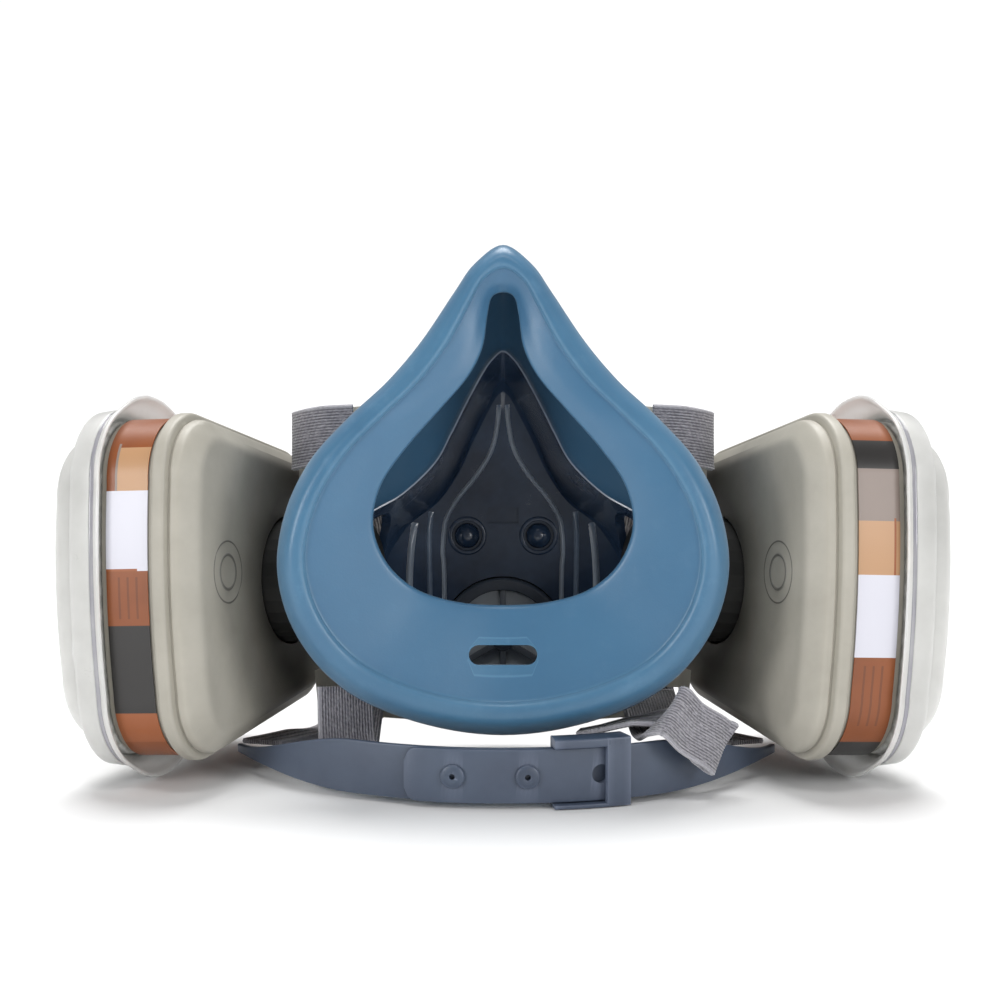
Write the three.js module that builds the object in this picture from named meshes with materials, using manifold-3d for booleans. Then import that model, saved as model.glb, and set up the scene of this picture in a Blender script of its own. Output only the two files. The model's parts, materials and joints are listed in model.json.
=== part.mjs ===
// A reusable half-mask respirator: a silicone face seal on a hard inner shell, two bayonet cartridges
// with clip-on particle filters, valves, a strap yoke, a crown band and its webbing.
// Millimetres, +Z up. The face opening looks along -Y and the exhalation valve is on the +Y side.
import * as THREE from 'three';
import { mergeVertices } from 'three/addons/utils/BufferGeometryUtils.js';
import Module from 'manifold-3d';

const wasm = await Module();
wasm.setup();

// Driving dimensions
const gap = 0.3; // clearance between touching pieces
const maskPitch = -8; // degrees the mask leans back as it stands
const sealThickness = 2.8;
const shellThickness = 2.2;
const shellFloorY = 54; // inner face of the shell's front panel
const portCentre = [57.5, 44, 53]; // where the port axis meets the cartridge's flat face
const portSweep = 24; // degrees the port axis points forward of sideways
const portTop = 2; // degrees the top of a cartridge leans outward
const portBoreRadius = 14;
const portRadius = 16.8;
const lugRadius = 19.4;
const lugCount = 3;
const valveCentreZ = 36;
const studSpacing = 19.4;
const studHeight = 64.4;
const valveRadius = 17.2;
const coverRadius = 21;
const cartridgeDepth = 27; // flat face to open rim
const tabReach = 49.4; // port axis to the tip of each retainer tab
const tabCentreY = -26; // tab's middle along the cartridge
const webbingThickness = 1.5;
const webbingWidth = 17;
const lowerWebbingWidth = 15.6;
const bandRadius = 78; // crown band's curve in plan
const bandCentreY = 66;
const bandThickness = 1.6;
const bandWidth = 14.4;
const bandLift = 1.3; // the keeper's lower flange holds the band off the floor by this
const pegPitch = 14.1; // degrees between the band's holes
const firstPeg = -9.5;
const tipHeight = 5.8; // middle of the crown band's tips above the floor
const keeperTop = 18.4;

const colours = {
  silicone: ['#56899f', 0.55, 0],
  shell: ['#2b3646', 0.35, 0],
  cartridge: ['#a8a599', 0.6, 0],
  retainer: ['#d4d4d2', 0.4, 0],
  label: ['#b06230', 0.6, 0],
  filter: ['#f2f2ee', 0.9, 0],
  charcoal: ['#1c1c1c', 0.95, 0],
  yoke: ['#d8d3c4', 0.5, 0],
  cover: ['#3d4a5c', 0.5, 0],
  valve: ['#8c8f8f', 0.6, 0],
  rubber: ['#2a2a2c', 0.8, 0],
  band: ['#586278', 0.45, 0],
  webbing: ['#87858a', 0.9, 0],
};

const mask = new THREE.Group();
const part = new THREE.Group();
part.add(mask);

function degrees(angle) {
  return THREE.MathUtils.degToRad(angle);
}

function addNode(parent, name, geometry, finish) {
  const [color, roughness, metalness] = colours[finish];
  const material = new THREE.MeshStandardMaterial({ color, roughness, metalness });
  const mesh = new THREE.Mesh(geometry, material);
  mesh.name = name;
  parent.add(mesh);
  return mesh;
}

// Booleans

function solidOf(geometry) {
  const bare = new THREE.BufferGeometry();
  bare.setAttribute('position', geometry.getAttribute('position').clone());
  if (geometry.index) bare.setIndex(geometry.index.clone());
  const merged = mergeVertices(bare, 1e-4);
  const vertProperties = new Float32Array(merged.getAttribute('position').array);
  const triVerts = new Uint32Array(merged.index.array);
  return new wasm.Manifold(new wasm.Mesh({ numProp: 3, vertProperties, triVerts }));
}

function geometryOf(solid) {
  const mesh = solid.getMesh();
  const geometry = new THREE.BufferGeometry();
  geometry.setAttribute('position', new THREE.BufferAttribute(mesh.vertProperties, 3));
  geometry.setIndex(new THREE.BufferAttribute(mesh.triVerts, 1));
  geometry.computeVertexNormals();
  return geometry;
}

function cut(base, ...tools) {
  let solid = solidOf(base);
  for (const tool of tools) solid = solid.subtract(solidOf(tool));
  return geometryOf(solid);
}

function join(...pieces) {
  let solid = solidOf(pieces[0]);
  for (const piece of pieces.slice(1)) solid = solid.add(solidOf(piece));
  return geometryOf(solid);
}

function keepInside(base, tool) {
  return geometryOf(solidOf(base).intersect(solidOf(tool)));
}

// Lofts: every ring has the same number of points. A loop joins its last ring to its first,
// and a stack is closed by a fan at each end.

function loft(rings, loop = false) {
  const count = rings[0].length;
  const points = rings.flat();
  const index = [];
  const spans = loop ? rings.length : rings.length - 1;
  for (let ring = 0; ring < spans; ring += 1) {
    const here = ring * count;
    const next = ((ring + 1) % rings.length) * count;
    for (let k = 0; k < count; k += 1) {
      const after = (k + 1) % count;
      index.push(here + k, here + after, next + after);
      index.push(here + k, next + after, next + k);
    }
  }
  if (!loop) {
    capEnd(points, index, 0, count, true);
    capEnd(points, index, (rings.length - 1) * count, count, false);
  }
  const geometry = new THREE.BufferGeometry().setFromPoints(points);
  geometry.setIndex(index);
  return facingOut(geometry);
}

function capEnd(points, index, start, count, first) {
  const centre = new THREE.Vector3();
  for (let k = 0; k < count; k += 1) centre.add(points[start + k]);
  centre.divideScalar(count);
  points.push(centre);
  const hub = points.length - 1;
  for (let k = 0; k < count; k += 1) {
    const a = start + k;
    const b = start + ((k + 1) % count);
    if (first) index.push(hub, b, a);
    else index.push(hub, a, b);
  }
}

function signedVolume(geometry) {
  const position = geometry.getAttribute('position');
  const index = geometry.index;
  const [a, b, c] = [new THREE.Vector3(), new THREE.Vector3(), new THREE.Vector3()];
  let volume = 0;
  for (let k = 0; k < index.count; k += 3) {
    a.fromBufferAttribute(position, index.getX(k));
    b.fromBufferAttribute(position, index.getX(k + 1));
    c.fromBufferAttribute(position, index.getX(k + 2));
    volume += a.dot(b.cross(c)) / 6;
  }
  return volume;
}

function flipFaces(geometry) {
  const index = geometry.index;
  for (let k = 0; k < index.count; k += 3) {
    const second = index.getX(k + 1);
    index.setX(k + 1, index.getX(k + 2));
    index.setX(k + 2, second);
  }
  return geometry;
}

function facingOut(geometry) {
  if (signedVolume(geometry) < 0) flipFaces(geometry);
  geometry.computeVertexNormals();
  return geometry;
}

function mirrored(geometry) {
  const copy = geometry.clone();
  if (!copy.index) copy.setIndex([...Array(copy.getAttribute('position').count).keys()]);
  copy.scale(-1, 1, 1);
  return facingOut(copy);
}

// Simple solids

function lathe(profile, segments = 48) {
  const points = profile.map(([radius, height]) => new THREE.Vector2(radius, height));
  points.push(points[0].clone());
  const geometry = new THREE.LatheGeometry(points, segments);
  const bare = mergeVertices(stripped(geometry), 1e-4);
  return facingOut(bare);
}

function stripped(geometry) {
  geometry.deleteAttribute('normal');
  geometry.deleteAttribute('uv');
  return geometry;
}

function box(size, centre) {
  return new THREE.BoxGeometry(...size).translate(...centre);
}

// A cylinder or ring whose axis is X, between two X values
function ringX(inner, outer, from, to, segments = 30) {
  const profile = [[inner, from], [outer, from], [outer, to], [inner, to]];
  return lathe(profile, segments).rotateZ(degrees(-90));
}

// The same along Y
function ringY(inner, outer, from, to, segments = 36) {
  const profile = [[inner, from], [outer, from], [outer, to], [inner, to]];
  return lathe(profile, segments);
}

function rodX(radius, from, to, segments = 32) {
  return new THREE.CylinderGeometry(radius, radius, to - from, segments)
    .rotateZ(degrees(-90)).translate((from + to) / 2, 0, 0);
}

function rodY(radius, from, to, segments = 32) {
  return new THREE.CylinderGeometry(radius, radius, to - from, segments)
    .translate(0, (from + to) / 2, 0);
}

// Face seal and shell: both follow matching stations down the right half, nose first.
// Each station gives x, z on the rim, on the lip of the opening and where silicone meets shell,
// then the depth of rim and of shell edge, and where between rim and lip the soft crease lies.
const stations = [
  { rim: [0, 143], lip: [0, 130.5], edge: [0, 115], rimY: 5, edgeY: 30, crease: 0.5 },
  { rim: [7.6, 138], lip: [2.9, 129.3], edge: [3.2, 112.5], rimY: 4, edgeY: 30, crease: 0.5 },
  { rim: [13, 130.4], lip: [4.1, 124.5], edge: [5.6, 109], rimY: 3, edgeY: 29.5, crease: 0.48 },
  { rim: [21.6, 117.6], lip: [5.4, 116], edge: [8.4, 104], rimY: 1, edgeY: 29, crease: 0.44 },
  { rim: [30.4, 107.2], lip: [9.2, 108.4], edge: [11, 99], rimY: -1, edgeY: 28, crease: 0.42 },
  { rim: [40.5, 97.8], lip: [16.4, 100], edge: [14, 93], rimY: -3, edgeY: 27, crease: 0.4 },
  { rim: [50.6, 86.4], lip: [25.2, 90], edge: [18.5, 85], rimY: -4, edgeY: 24, crease: 0.36 },
  { rim: [57.2, 72.4], lip: [32, 80], edge: [27, 77], rimY: -5, edgeY: 19, crease: 0.33 },
  { rim: [59.2, 56.6], lip: [34, 69.4], edge: [39, 69], rimY: -5, edgeY: 13, crease: 0.3 },
  { rim: [54.2, 40.4], lip: [30.4, 59.6], edge: [43.5, 53], rimY: -4, edgeY: 11, crease: 0.28 },
  { rim: [42.2, 26.6], lip: [22.6, 52.6], edge: [37, 36], rimY: -2, edgeY: 15, crease: 0.27 },
  { rim: [22.2, 17.4], lip: [11.6, 49.2], edge: [20, 27.5], rimY: -1, edgeY: 21, crease: 0.27 },
  { rim: [0, 14], lip: [0, 48.4], edge: [0, 25.5], rimY: 0, edgeY: 23, crease: 0.27 },
];
const stepsPerStation = 3;

// The shell's front panel at each station
const panel = [
  [0, 104], [1.8, 103], [3.4, 100.5], [5.2, 97], [7, 93.5], [9.2, 89],
  [12.4, 82], [18, 74], [27, 66.5], [33, 54], [29, 39], [16, 27], [0, 22],
];

function fullCircle(values, mirror) {
  const others = values.slice(1, -1).reverse().map(mirror);
  return [...values, ...others];
}

function closedCurve(points) {
  const full = fullCircle(points, (p) => new THREE.Vector3(-p.x, p.y, p.z));
  const curve = new THREE.CatmullRomCurve3(full, true, 'catmullrom', 0.5);
  const steps = full.length * stepsPerStation;
  return Array.from({ length: steps }, (_, k) => curve.getPoint(k / steps));
}

function closedValues(values) {
  const full = fullCircle(values, (v) => v);
  const steps = full.length * stepsPerStation;
  return Array.from({ length: steps }, (_, k) => {
    const at = k / stepsPerStation;
    const low = Math.floor(at);
    return THREE.MathUtils.lerp(full[low], full[(low + 1) % full.length], at - low);
  });
}

function curveAt(key, depthKey) {
  return closedCurve(stations.map((s) => new THREE.Vector3(s[key][0], s[depthKey], s[key][1])));
}

const rimCurve = curveAt('rim', 'rimY');
const lipCurve = curveAt('lip', 'rimY');
const edgeCurve = curveAt('edge', 'edgeY');
const panelCurve = closedCurve(panel.map(([x, z]) => new THREE.Vector3(x, shellFloorY, z)));
const creases = closedValues(stations.map((s) => s.crease));

// Outward normal of a closed curve, in the XZ plane
function outward(curve, k) {
  const before = curve[(k - 1 + curve.length) % curve.length];
  const after = curve[(k + 1) % curve.length];
  return new THREE.Vector3(before.z - after.z, 0, after.x - before.x).normalize();
}

function offset(curve, k, distance, depth = 0) {
  const point = curve[k].clone().addScaledVector(outward(curve, k), distance);
  point.y += depth;
  return point;
}

function sealSection(k) {
  const rim = rimCurve[k];
  const lip = lipCurve[k];
  const crease = creases[k];
  const across = (share, depth) => rim.clone().lerp(lip, share).add(new THREE.Vector3(0, depth, 0));
  const wall = (share, distance) => {
    const point = edgeCurve[k].clone().lerp(rim, share);
    const normal = outward(edgeCurve, k).lerp(outward(rimCurve, k), share).normalize();
    return point.addScaledVector(normal, distance);
  };
  const outside = [
    wall(0, sealThickness),
    wall(0.3, sealThickness + 1.2),
    wall(0.65, sealThickness + 1.4),
    offset(rimCurve, k, -0.5, 4.5),
    offset(rimCurve, k, 0, 0.5),
    across(0.05, -3.4),
    across(crease * 0.42, -5.8),
    across(crease * 0.78, -6.2),
    across(crease, -5.2),
    across(crease + (1 - crease) * 0.55, -3.6),
    across(0.985, -1.2),
  ];
  const inside = [
    across(1, 0.4),
    across(0.97, 1.4),
    across(crease + (1 - crease) * 0.5, -1.2),
    across(crease, -2.6),
    across(crease * 0.75, -3.2),
    offset(rimCurve, k, -3.4, -0.4),
    offset(rimCurve, k, -3.2, 4.2),
    wall(0.65, -1.2),
    wall(0.3, -0.6),
    wall(0, 0),
  ];
  return [...outside, ...inside];
}

function makeFaceSeal() {
  const rings = rimCurve.map((_, k) => sealSection(k));
  const chinSlot = new THREE.Shape();
  const half = 6.4;
  const radius = 2.6;
  chinSlot.absarc(half, 0, radius, -Math.PI / 2, Math.PI / 2);
  chinSlot.absarc(-half, 0, radius, Math.PI / 2, Math.PI * 1.5);
  const slot = new THREE.ExtrudeGeometry(chinSlot, { depth: 16, bevelEnabled: false, curveSegments: 8 });
  slot.rotateX(degrees(90)).translate(0, 4, 35.4);
  return cut(loft(rings, true), slot);
}

function makeInnerShell() {
  const ringAt = (curve, distance, depth) => curve.map((_, k) => offset(curve, k, distance, depth));
  const between = (share, distance) => edgeCurve.map((point, k) => {
    const normal = outward(edgeCurve, k).lerp(outward(panelCurve, k), share).normalize();
    return point.clone().lerp(panelCurve[k], share).addScaledVector(normal, distance);
  });
  const rings = [
    ringAt(panelCurve, -2, 0),
    between(0.93, -0.2),
    between(0.5, 0.8),
    ringAt(edgeCurve, -0.4, gap),
    ringAt(edgeCurve, sealThickness, gap),
    ringAt(edgeCurve, sealThickness, gap + 2.4),
    between(0.5, 0.8 + shellThickness),
    between(0.97, shellThickness),
    ringAt(panelCurve, -0.5, shellThickness),
  ];
  const holes = [rodY(valveRadius + gap, 50, 60, 48).translate(0, 0, valveCentreZ)];
  holes.push(box([8.4, 12, 4.4], [0, 55, 70]));
  for (const side of [-1, 1]) {
    const hole = rodX(portRadius + gap, -40, 2, 48);
    hole.applyMatrix4(portMatrix());
    holes.push(side > 0 ? hole : mirrored(hole));
    holes.push(rodY(2.6, 50, 60, 20).translate(side * studSpacing / 2, 0, studHeight));
  }
  return cut(loft(rings), ...holes);
}

// A port's frame on the right side: X outward along its axis, Y forward, Z up
function portMatrix() {
  const turn = new THREE.Matrix4().makeRotationZ(degrees(portSweep));
  const lean = new THREE.Matrix4().makeRotationY(degrees(portTop));
  const place = new THREE.Matrix4().makeTranslation(...portCentre);
  return place.multiply(turn).multiply(lean);
}

function makePort() {
  const tube = ringX(portBoreRadius, portRadius, -21, 1.4);
  const flange = ringX(portRadius - 1, 21, -16.5, -14.6);
  const seat = ringX(12, portBoreRadius + 1, -18, -16.4);
  const spokes = [0, 60, 120].map((angle) => box([1.6, 1.6, 28.4], [-17.2, 0, 0]).rotateX(degrees(angle)));
  const lugs = [];
  for (let k = 0; k < lugCount; k += 1) {
    const lug = keepInside(
      ringX(portRadius - 1, lugRadius, -0.2 + 2.4, 4.2),
      box([10, 12, 12], [3, 0, lugRadius]),
    );
    lugs.push(lug.rotateX(degrees((360 / lugCount) * k)));
  }
  const nose = ringX(portBoreRadius, portRadius, 1.2, 4.2);
  return join(tube, flange, seat, ...spokes, nose, ...lugs);
}

// Cartridge outline in its own frame: Y runs forward, so the tall end towards the wearer is -Y.
// near and far are the corner circles' centres; the outline grows by a plain offset.
const nearCorner = { y: -40, z: 28, radius: 16, bulge: 2 };
const farCorner = { y: 13, z: 20, radius: 13 };

// shorter draws the corner circles of both ends in towards the middle.
function cartridgeRing(x, grow, shorter = 0) {
  const run = nearCorner.y - farCorner.y;
  const rise = nearCorner.z - farCorner.z;
  const distance = Math.hypot(run, rise);
  const along = Math.atan2(rise, -run);
  const slant = Math.PI / 2 + along + Math.asin((nearCorner.radius - farCorner.radius) / distance);
  const upper = Math.PI - slant;
  const points = [];
  const arc = (corner, from, to, sign) => {
    for (let k = 0; k <= 5; k += 1) {
      const angle = THREE.MathUtils.lerp(from, to, k / 5);
      const radius = corner.radius + grow;
      const y = corner.y + radius * Math.cos(angle);
      points.push([y, sign * (corner.z - shorter) + radius * Math.sin(angle)]);
    }
  };
  arc(farCorner, 0, upper, 1);
  arc(nearCorner, upper, Math.PI, 1);
  for (const share of [0.5, 0, -0.5]) {
    const y = nearCorner.y - nearCorner.radius - grow - nearCorner.bulge * (1 - share * share);
    points.push([y, share * (nearCorner.z - shorter)]);
  }
  arc(nearCorner, Math.PI, 2 * Math.PI - upper, -1);
  arc(farCorner, 2 * Math.PI - upper, 2 * Math.PI, -1);
  return points.map(([y, z]) => new THREE.Vector3(x, y, z));
}

function cartridgeStack(levels) {
  return loft(levels.map(([x, grow, shorter]) => cartridgeRing(x, grow, shorter)));
}

function makeCartridgeBody() {
  const outside = cartridgeStack([
    [0, -5], [4.4, 0], [7.6, 0.2], [8, 1.9], [11.4, 1.9], [11.8, 0], [cartridgeDepth, 0],
  ]);
  const hollow = cartridgeStack([[2, -7], [5.8, -2], [cartridgeDepth + 1, -2]]);
  const boss = ringX(lugRadius, lugRadius + 2.6, 1, 8);
  const bossFloor = ringX(portBoreRadius, lugRadius + 1, 6, 8);
  const shell = join(cut(outside, hollow), boss, bossFloor);
  const mouth = rodX(portRadius + 0.5, -1, 2, 48);
  const lugRoom = rodX(lugRadius + 0.5, 1.9, 6, 48);
  const notches = [];
  for (let k = 0; k < lugCount; k += 1) {
    const notch = keepInside(
      ringX(portRadius - 1, lugRadius + 0.5, -1, 2),
      box([6, 13.5, 12], [0.5, 0, lugRadius]),
    );
    notches.push(notch.rotateX(degrees((360 / lugCount) * k + 60)));
  }
  return cut(shell, mouth, lugRoom, ...notches);
}

function makeInletGrid() {
  const plate = cartridgeStack([[24.4, -2.4], [26.2, -2.4]]);
  const slots = [];
  for (let k = 0; k < 7; k += 1) {
    const y = -48 + k * 10;
    const half = 34 - k * 2;
    for (const side of [-1, 1]) slots.push(box([4, 7, half - 2], [25.3, y, side * (half / 2)]));
  }
  return cut(plate, ...slots);
}

function makeFilterRetainer() {
  const outside = cartridgeStack([
    [25.4, 4.6], [28.2, 4.6], [28.8, 3.2], [35.4, 2.6], [36, 0.8, 4], [40.6, -0.2, 5], [42, -2, 5],
  ]);
  const hollow = cartridgeStack([[24, 1], [35, 1]]);
  const window = cartridgeStack([[34, -8, 4], [44, -8, 4]]);
  const tabs = [1, -1].map((side) => {
    const shape = new THREE.Shape();
    shape.moveTo(tabCentreY - 21, side * 43);
    shape.quadraticCurveTo(tabCentreY - 13, side * tabReach, tabCentreY - 4, side * tabReach);
    shape.lineTo(tabCentreY + 4, side * tabReach);
    shape.quadraticCurveTo(tabCentreY + 14, side * tabReach, tabCentreY + 21, side * 40);
    shape.closePath();
    const settings = { depth: 2.8, bevelEnabled: false, curveSegments: 5 };
    const tab = new THREE.ExtrudeGeometry(shape, settings);
    // the shape's first axis becomes Y, its second Z and its depth X
    const turn = new THREE.Matrix4().makeBasis(
      new THREE.Vector3(0, 1, 0),
      new THREE.Vector3(0, 0, 1),
      new THREE.Vector3(1, 0, 0),
    );
    return tab.applyMatrix4(turn).translate(25.4, 0, 0);
  });
  const shell = cut(join(outside, ...tabs), hollow, window);
  const bars = [];
  for (const y of [-41, -25.5, -10, 5.5]) bars.push(box([3, 2, 92], [39.5, y, 0]));
  for (const z of [-14, 14]) bars.push(box([3, 90, 2], [39.5, -16, z]));
  const grille = keepInside(join(...bars), cartridgeStack([[37, -7, 4], [42, -7, 4]]));
  return join(shell, grille);
}

function makeLabel() {
  const outside = cartridgeStack([[13, 0.7], [25, 0.7]]);
  const inside = cartridgeStack([[12, 0.3], [26, 0.3]]);
  return cut(outside, inside);
}

function addSide(side) {
  const name = side > 0 ? 'right' : 'left';
  const hand = (geometry) => (side > 0 ? geometry : mirrored(geometry));
  const port = new THREE.Group();
  port.position.set(side * portCentre[0], portCentre[1], portCentre[2]);
  port.rotation.set(0, degrees(side * portTop), degrees(side * portSweep), 'ZYX');
  mask.add(port);
  const pieces = [
    ['bayonet_port', makePort(), 'cartridge'],
    ['inhalation_valve_flap', ringX(0.6, 13.2, -19.2, -18.4), 'valve'],
    ['port_gasket', ringX(portBoreRadius + 0.2, portRadius + 1.6, 4.5, 5.7), 'rubber'],
    ['cartridge_body', makeCartridgeBody(), 'cartridge'],
    ['charcoal_bed', cartridgeStack([[8.4, -2.4], [24, -2.4]]), 'charcoal'],
    ['inlet_grid', makeInletGrid(), 'cartridge'],
    ['cartridge_label', makeLabel(), 'label'],
    ['filter_pad', cartridgeStack([[27.4, 0.5], [34.4, 0.5]]), 'filter'],
    ['filter_retainer', makeFilterRetainer(), 'retainer'],
  ];
  for (const [piece, geometry, finish] of pieces) {
    addNode(port, `${name}_${piece}`, hand(geometry), finish);
  }
}

// Two domed studs that hold the yoke to the shell, headed on the wearer's side

function addShellStuds() {
  const profile = [
    [0.01, shellFloorY - 2.6], [1.8, shellFloorY - 2.3], [3.2, shellFloorY - 1.4], [3.9, shellFloorY - gap],
    [2.3, shellFloorY - gap], [2.3, shellFloorY + 1.6], [0.01, shellFloorY + 1.6],
  ];
  for (const side of [-1, 1]) {
    const stud = lathe(profile, 24).translate(side * studSpacing / 2, 0, studHeight);
    addNode(mask, `${side > 0 ? 'right' : 'left'}_shell_stud`, stud, 'shell');
  }
}

// Exhalation valve, in line with Y

function addExhalationValve() {
  const ring = ringY(12.6, valveRadius, shellFloorY - 0.6, shellFloorY + 2.8);
  const hub = rodY(3, shellFloorY, shellFloorY + 2.4);
  const spokes = [30, 90, 150].map((angle) => (
    box([27, 1.8, 1.8], [0, shellFloorY + 1, 0]).rotateY(degrees(angle))
  ));
  const seat = join(ring, hub, ...spokes);
  const flap = rodY(14.6, shellFloorY + 3.1, shellFloorY + 3.9, 48);
  addNode(mask, 'exhalation_valve_seat', seat.translate(0, 0, valveCentreZ), 'valve');
  addNode(mask, 'exhalation_valve_flap', flap.translate(0, 0, valveCentreZ), 'silicone');

  const back = shellFloorY + shellThickness + gap;
  const skirt = lathe([
    [coverRadius - 2, back], [coverRadius, back], [coverRadius, back + 7],
    [coverRadius - 4, back + 11.5], [0.01, back + 13], [0.01, back + 11], [coverRadius - 5, back + 9.6],
    [coverRadius - 2, back + 6.4],
  ]);
  const vents = [];
  for (const angle of [-150, -120, -90, -60, -30]) {
    vents.push(box([8, 4, 6], [coverRadius, back + 4.4, 0]).rotateY(degrees(-angle)));
  }
  const cover = cut(skirt, ...vents);
  addNode(mask, 'exhalation_valve_cover', cover.translate(0, 0, valveCentreZ), 'cover');
}

// Strap yoke: a plate across the front whose four arms bend back towards the wearer

function yokeLine(x) {
  const past = Math.max(0, Math.abs(x) - 36);
  return shellFloorY + shellThickness + gap - (past / 20) ** 2 * 15;
}

function makeYoke() {
  const rings = [];
  const reach = 56;
  const thickness = 2.6;
  for (let k = 0; k <= 28; k += 1) {
    const x = -reach + (2 * reach * k) / 28;
    const y = yokeLine(x);
    rings.push([
      new THREE.Vector3(x, y, 0), new THREE.Vector3(x, y + thickness, 0),
      new THREE.Vector3(x, y + thickness, 120), new THREE.Vector3(x, y, 120),
    ]);
  }
  const outline = new THREE.Shape();
  outline.moveTo(0, 14);
  outline.lineTo(22, 14);
  outline.lineTo(50, 16);
  outline.lineTo(51, 28);
  outline.lineTo(34, 33);
  outline.quadraticCurveTo(25, 55, 30, 72);
  outline.lineTo(55, 77);
  outline.lineTo(55, 98);
  outline.lineTo(34, 100);
  outline.quadraticCurveTo(14, 100, 0, 108);
  const half = outline.getPoints(6);
  const other = half.slice(1, -1).reverse().map((p) => new THREE.Vector2(-p.x, p.y));
  const shape = new THREE.Shape([...half, ...other]);
  const prism = new THREE.ExtrudeGeometry(shape, { depth: 60, bevelEnabled: false });
  prism.rotateX(degrees(90)).translate(0, 80, 0);
  const plate = keepInside(loft(rings), prism);
  const holes = [rodY(coverRadius + 0.6, 40, 80, 48).translate(0, 0, valveCentreZ)];
  for (const side of [-1, 1]) {
    holes.push(box([3.8, 60, 19.4], [side * 48.5, 50, 88]));
    holes.push(box([17.4, 60, 3.6], [side * 39, 50, 21.5]));
  }
  return cut(plate, ...holes);
}

// Webbing: a strip through stops, each with the direction that its width runs there

function webbingStrip(stops, width, stepsEach = 4) {
  const smooth = (points) => new THREE.CatmullRomCurve3(points, false, 'centripetal');
  const line = smooth(stops.map(({ at }) => new THREE.Vector3(...at)));
  const steps = (stops.length - 1) * stepsEach;
  const rings = [];
  for (let k = 0; k <= steps; k += 1) {
    const stop = Math.min(Math.floor(k / stepsEach), stops.length - 2);
    const from = new THREE.Vector3(...stops[stop].across).normalize();
    const to = new THREE.Vector3(...stops[stop + 1].across).normalize();
    const across = from.lerp(to, k / stepsEach - stop);
    const point = line.getPoint(k / steps);
    const tangent = line.getTangent(k / steps);
    const normal = new THREE.Vector3().crossVectors(tangent, across).normalize();
    const side = new THREE.Vector3().crossVectors(normal, tangent).normalize();
    const corner = (a, b) => point.clone()
      .addScaledVector(side, (a * width) / 2)
      .addScaledVector(normal, (b * webbingThickness) / 2);
    rings.push([corner(-1, -1), corner(1, -1), corner(1, 1), corner(-1, 1)]);
  }
  return loft(rings);
}

const upperStrapStops = [
  { at: [37, 33, 88], across: [0, 0, 1] }, // loose end on the wearer's side
  { at: [44.5, 35, 88], across: [0, 0, 1] },
  { at: [48.5, 42, 88], across: [0, 0, 1] },
  { at: [48.5, 48.5, 88], across: [0, 0, 1] },
  { at: [48.5, 54.5, 88], across: [0, 0, 1] }, // through the yoke's slot
  { at: [44, 63, 84], across: [-0.4, 0, 1] },
  { at: [37.5, 68, 68], across: [-1, 0, 0.5] },
  { at: [36, 69, 44], across: [-1, 0, 0] },
  { at: [37, 68, 25], across: [-1, 0.2, 0] },
  { at: [43, 63.5, 13.2], across: [-1, -0.4, 0.2] }, // under the cartridge
  { at: [54, 53, 10.6], across: [-0.7, -0.8, 0] },
  { at: [65, 43, 9], across: [-0.6, -0.8, 0] }, // ends at the crown band's tip
];

// The left lower strap drops behind the seal's lower edge
const leftLowerStops = [
  { at: [-39, 61, 21.5], across: [1, 0, 0] },
  { at: [-39, 54, 21.5], across: [1, 0, 0] },
  { at: [-40, 44, 18], across: [1, 0, 0] },
  { at: [-41, 32, 10], across: [1, 0, 0] },
  { at: [-41, 21, 7], across: [1, 0, 0] },
  { at: [-41.5, 15.5, 12], across: [1, 0.3, 0] },
  { at: [-42, 15, 26], across: [1, 0.4, 0] },
];

// The right lower strap comes forward, turns outward in front of the crown band, folds back behind
// itself and runs inward under the chin
const loopAcross = [0.38, 0.4, 0.83];
const rightLowerStops = [
  { at: [39, 61, 21.5], across: [1, 0, 0] },
  { at: [39, 54, 21.5], across: [1, 0, 0] },
  { at: [40, 38, 18.5], across: [1, 0, 0] },
  { at: [41, 20, 15.5], across: [1, 0, 0] },
  { at: [42, 4.5, 16], across: [0.9, 0.2, 0.4] },
  { at: [42.8, -4.2, 19.8], across: [0.6, 0.45, 0.7] },
  { at: [44.8, -7.4, 20.8], across: loopAcross },
  { at: [49.5, -5.6, 16.3], across: loopAcross },
  { at: [55.5, -3, 12.5], across: loopAcross },
  { at: [57.6, 0, 10.6], across: loopAcross }, // the fold
  { at: [54.5, 2.4, 12.4], across: loopAcross },
  { at: [46, 4, 18], across: [0.2, 0.95, 0.3] },
  { at: [36, 6.5, 17.6], across: [0, 1, 0.02] },
  { at: [25, 9, 15], across: [0, 1, -0.02] },
  { at: [20, 9.6, 14], across: [0, 1, -0.02] },
];

function addWebbing() {
  const upper = webbingStrip(upperStrapStops, webbingWidth);
  addNode(mask, 'right_upper_strap', upper, 'webbing');
  addNode(mask, 'left_upper_strap', mirrored(upper), 'webbing');
  addNode(mask, 'left_lower_strap', webbingStrip(leftLowerStops, lowerWebbingWidth), 'webbing');
  addNode(mask, 'right_lower_strap', webbingStrip(rightLowerStops, lowerWebbingWidth), 'webbing');
}

// Crown band: strips bent round a vertical axis, standing on edge

function arcPoint(radius, angle, z) {
  const turn = degrees(angle);
  return new THREE.Vector3(radius * Math.sin(turn), bandCentreY - radius * Math.cos(turn), z);
}

function arcStrip(inner, outer, from, to, low, high, steps = 8) {
  const level = (value, angle) => (typeof value === 'function' ? value(angle) : value);
  const rings = [];
  for (let k = 0; k <= steps; k += 1) {
    const angle = THREE.MathUtils.lerp(from, to, k / steps);
    const [bottom, top] = [level(low, angle), level(high, angle)];
    rings.push([
      arcPoint(inner, angle, bottom), arcPoint(outer, angle, bottom),
      arcPoint(outer, angle, top), arcPoint(inner, angle, top),
    ]);
  }
  return loft(rings);
}

const bandTip = 66;
const bandTaperStart = 30;

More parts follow.
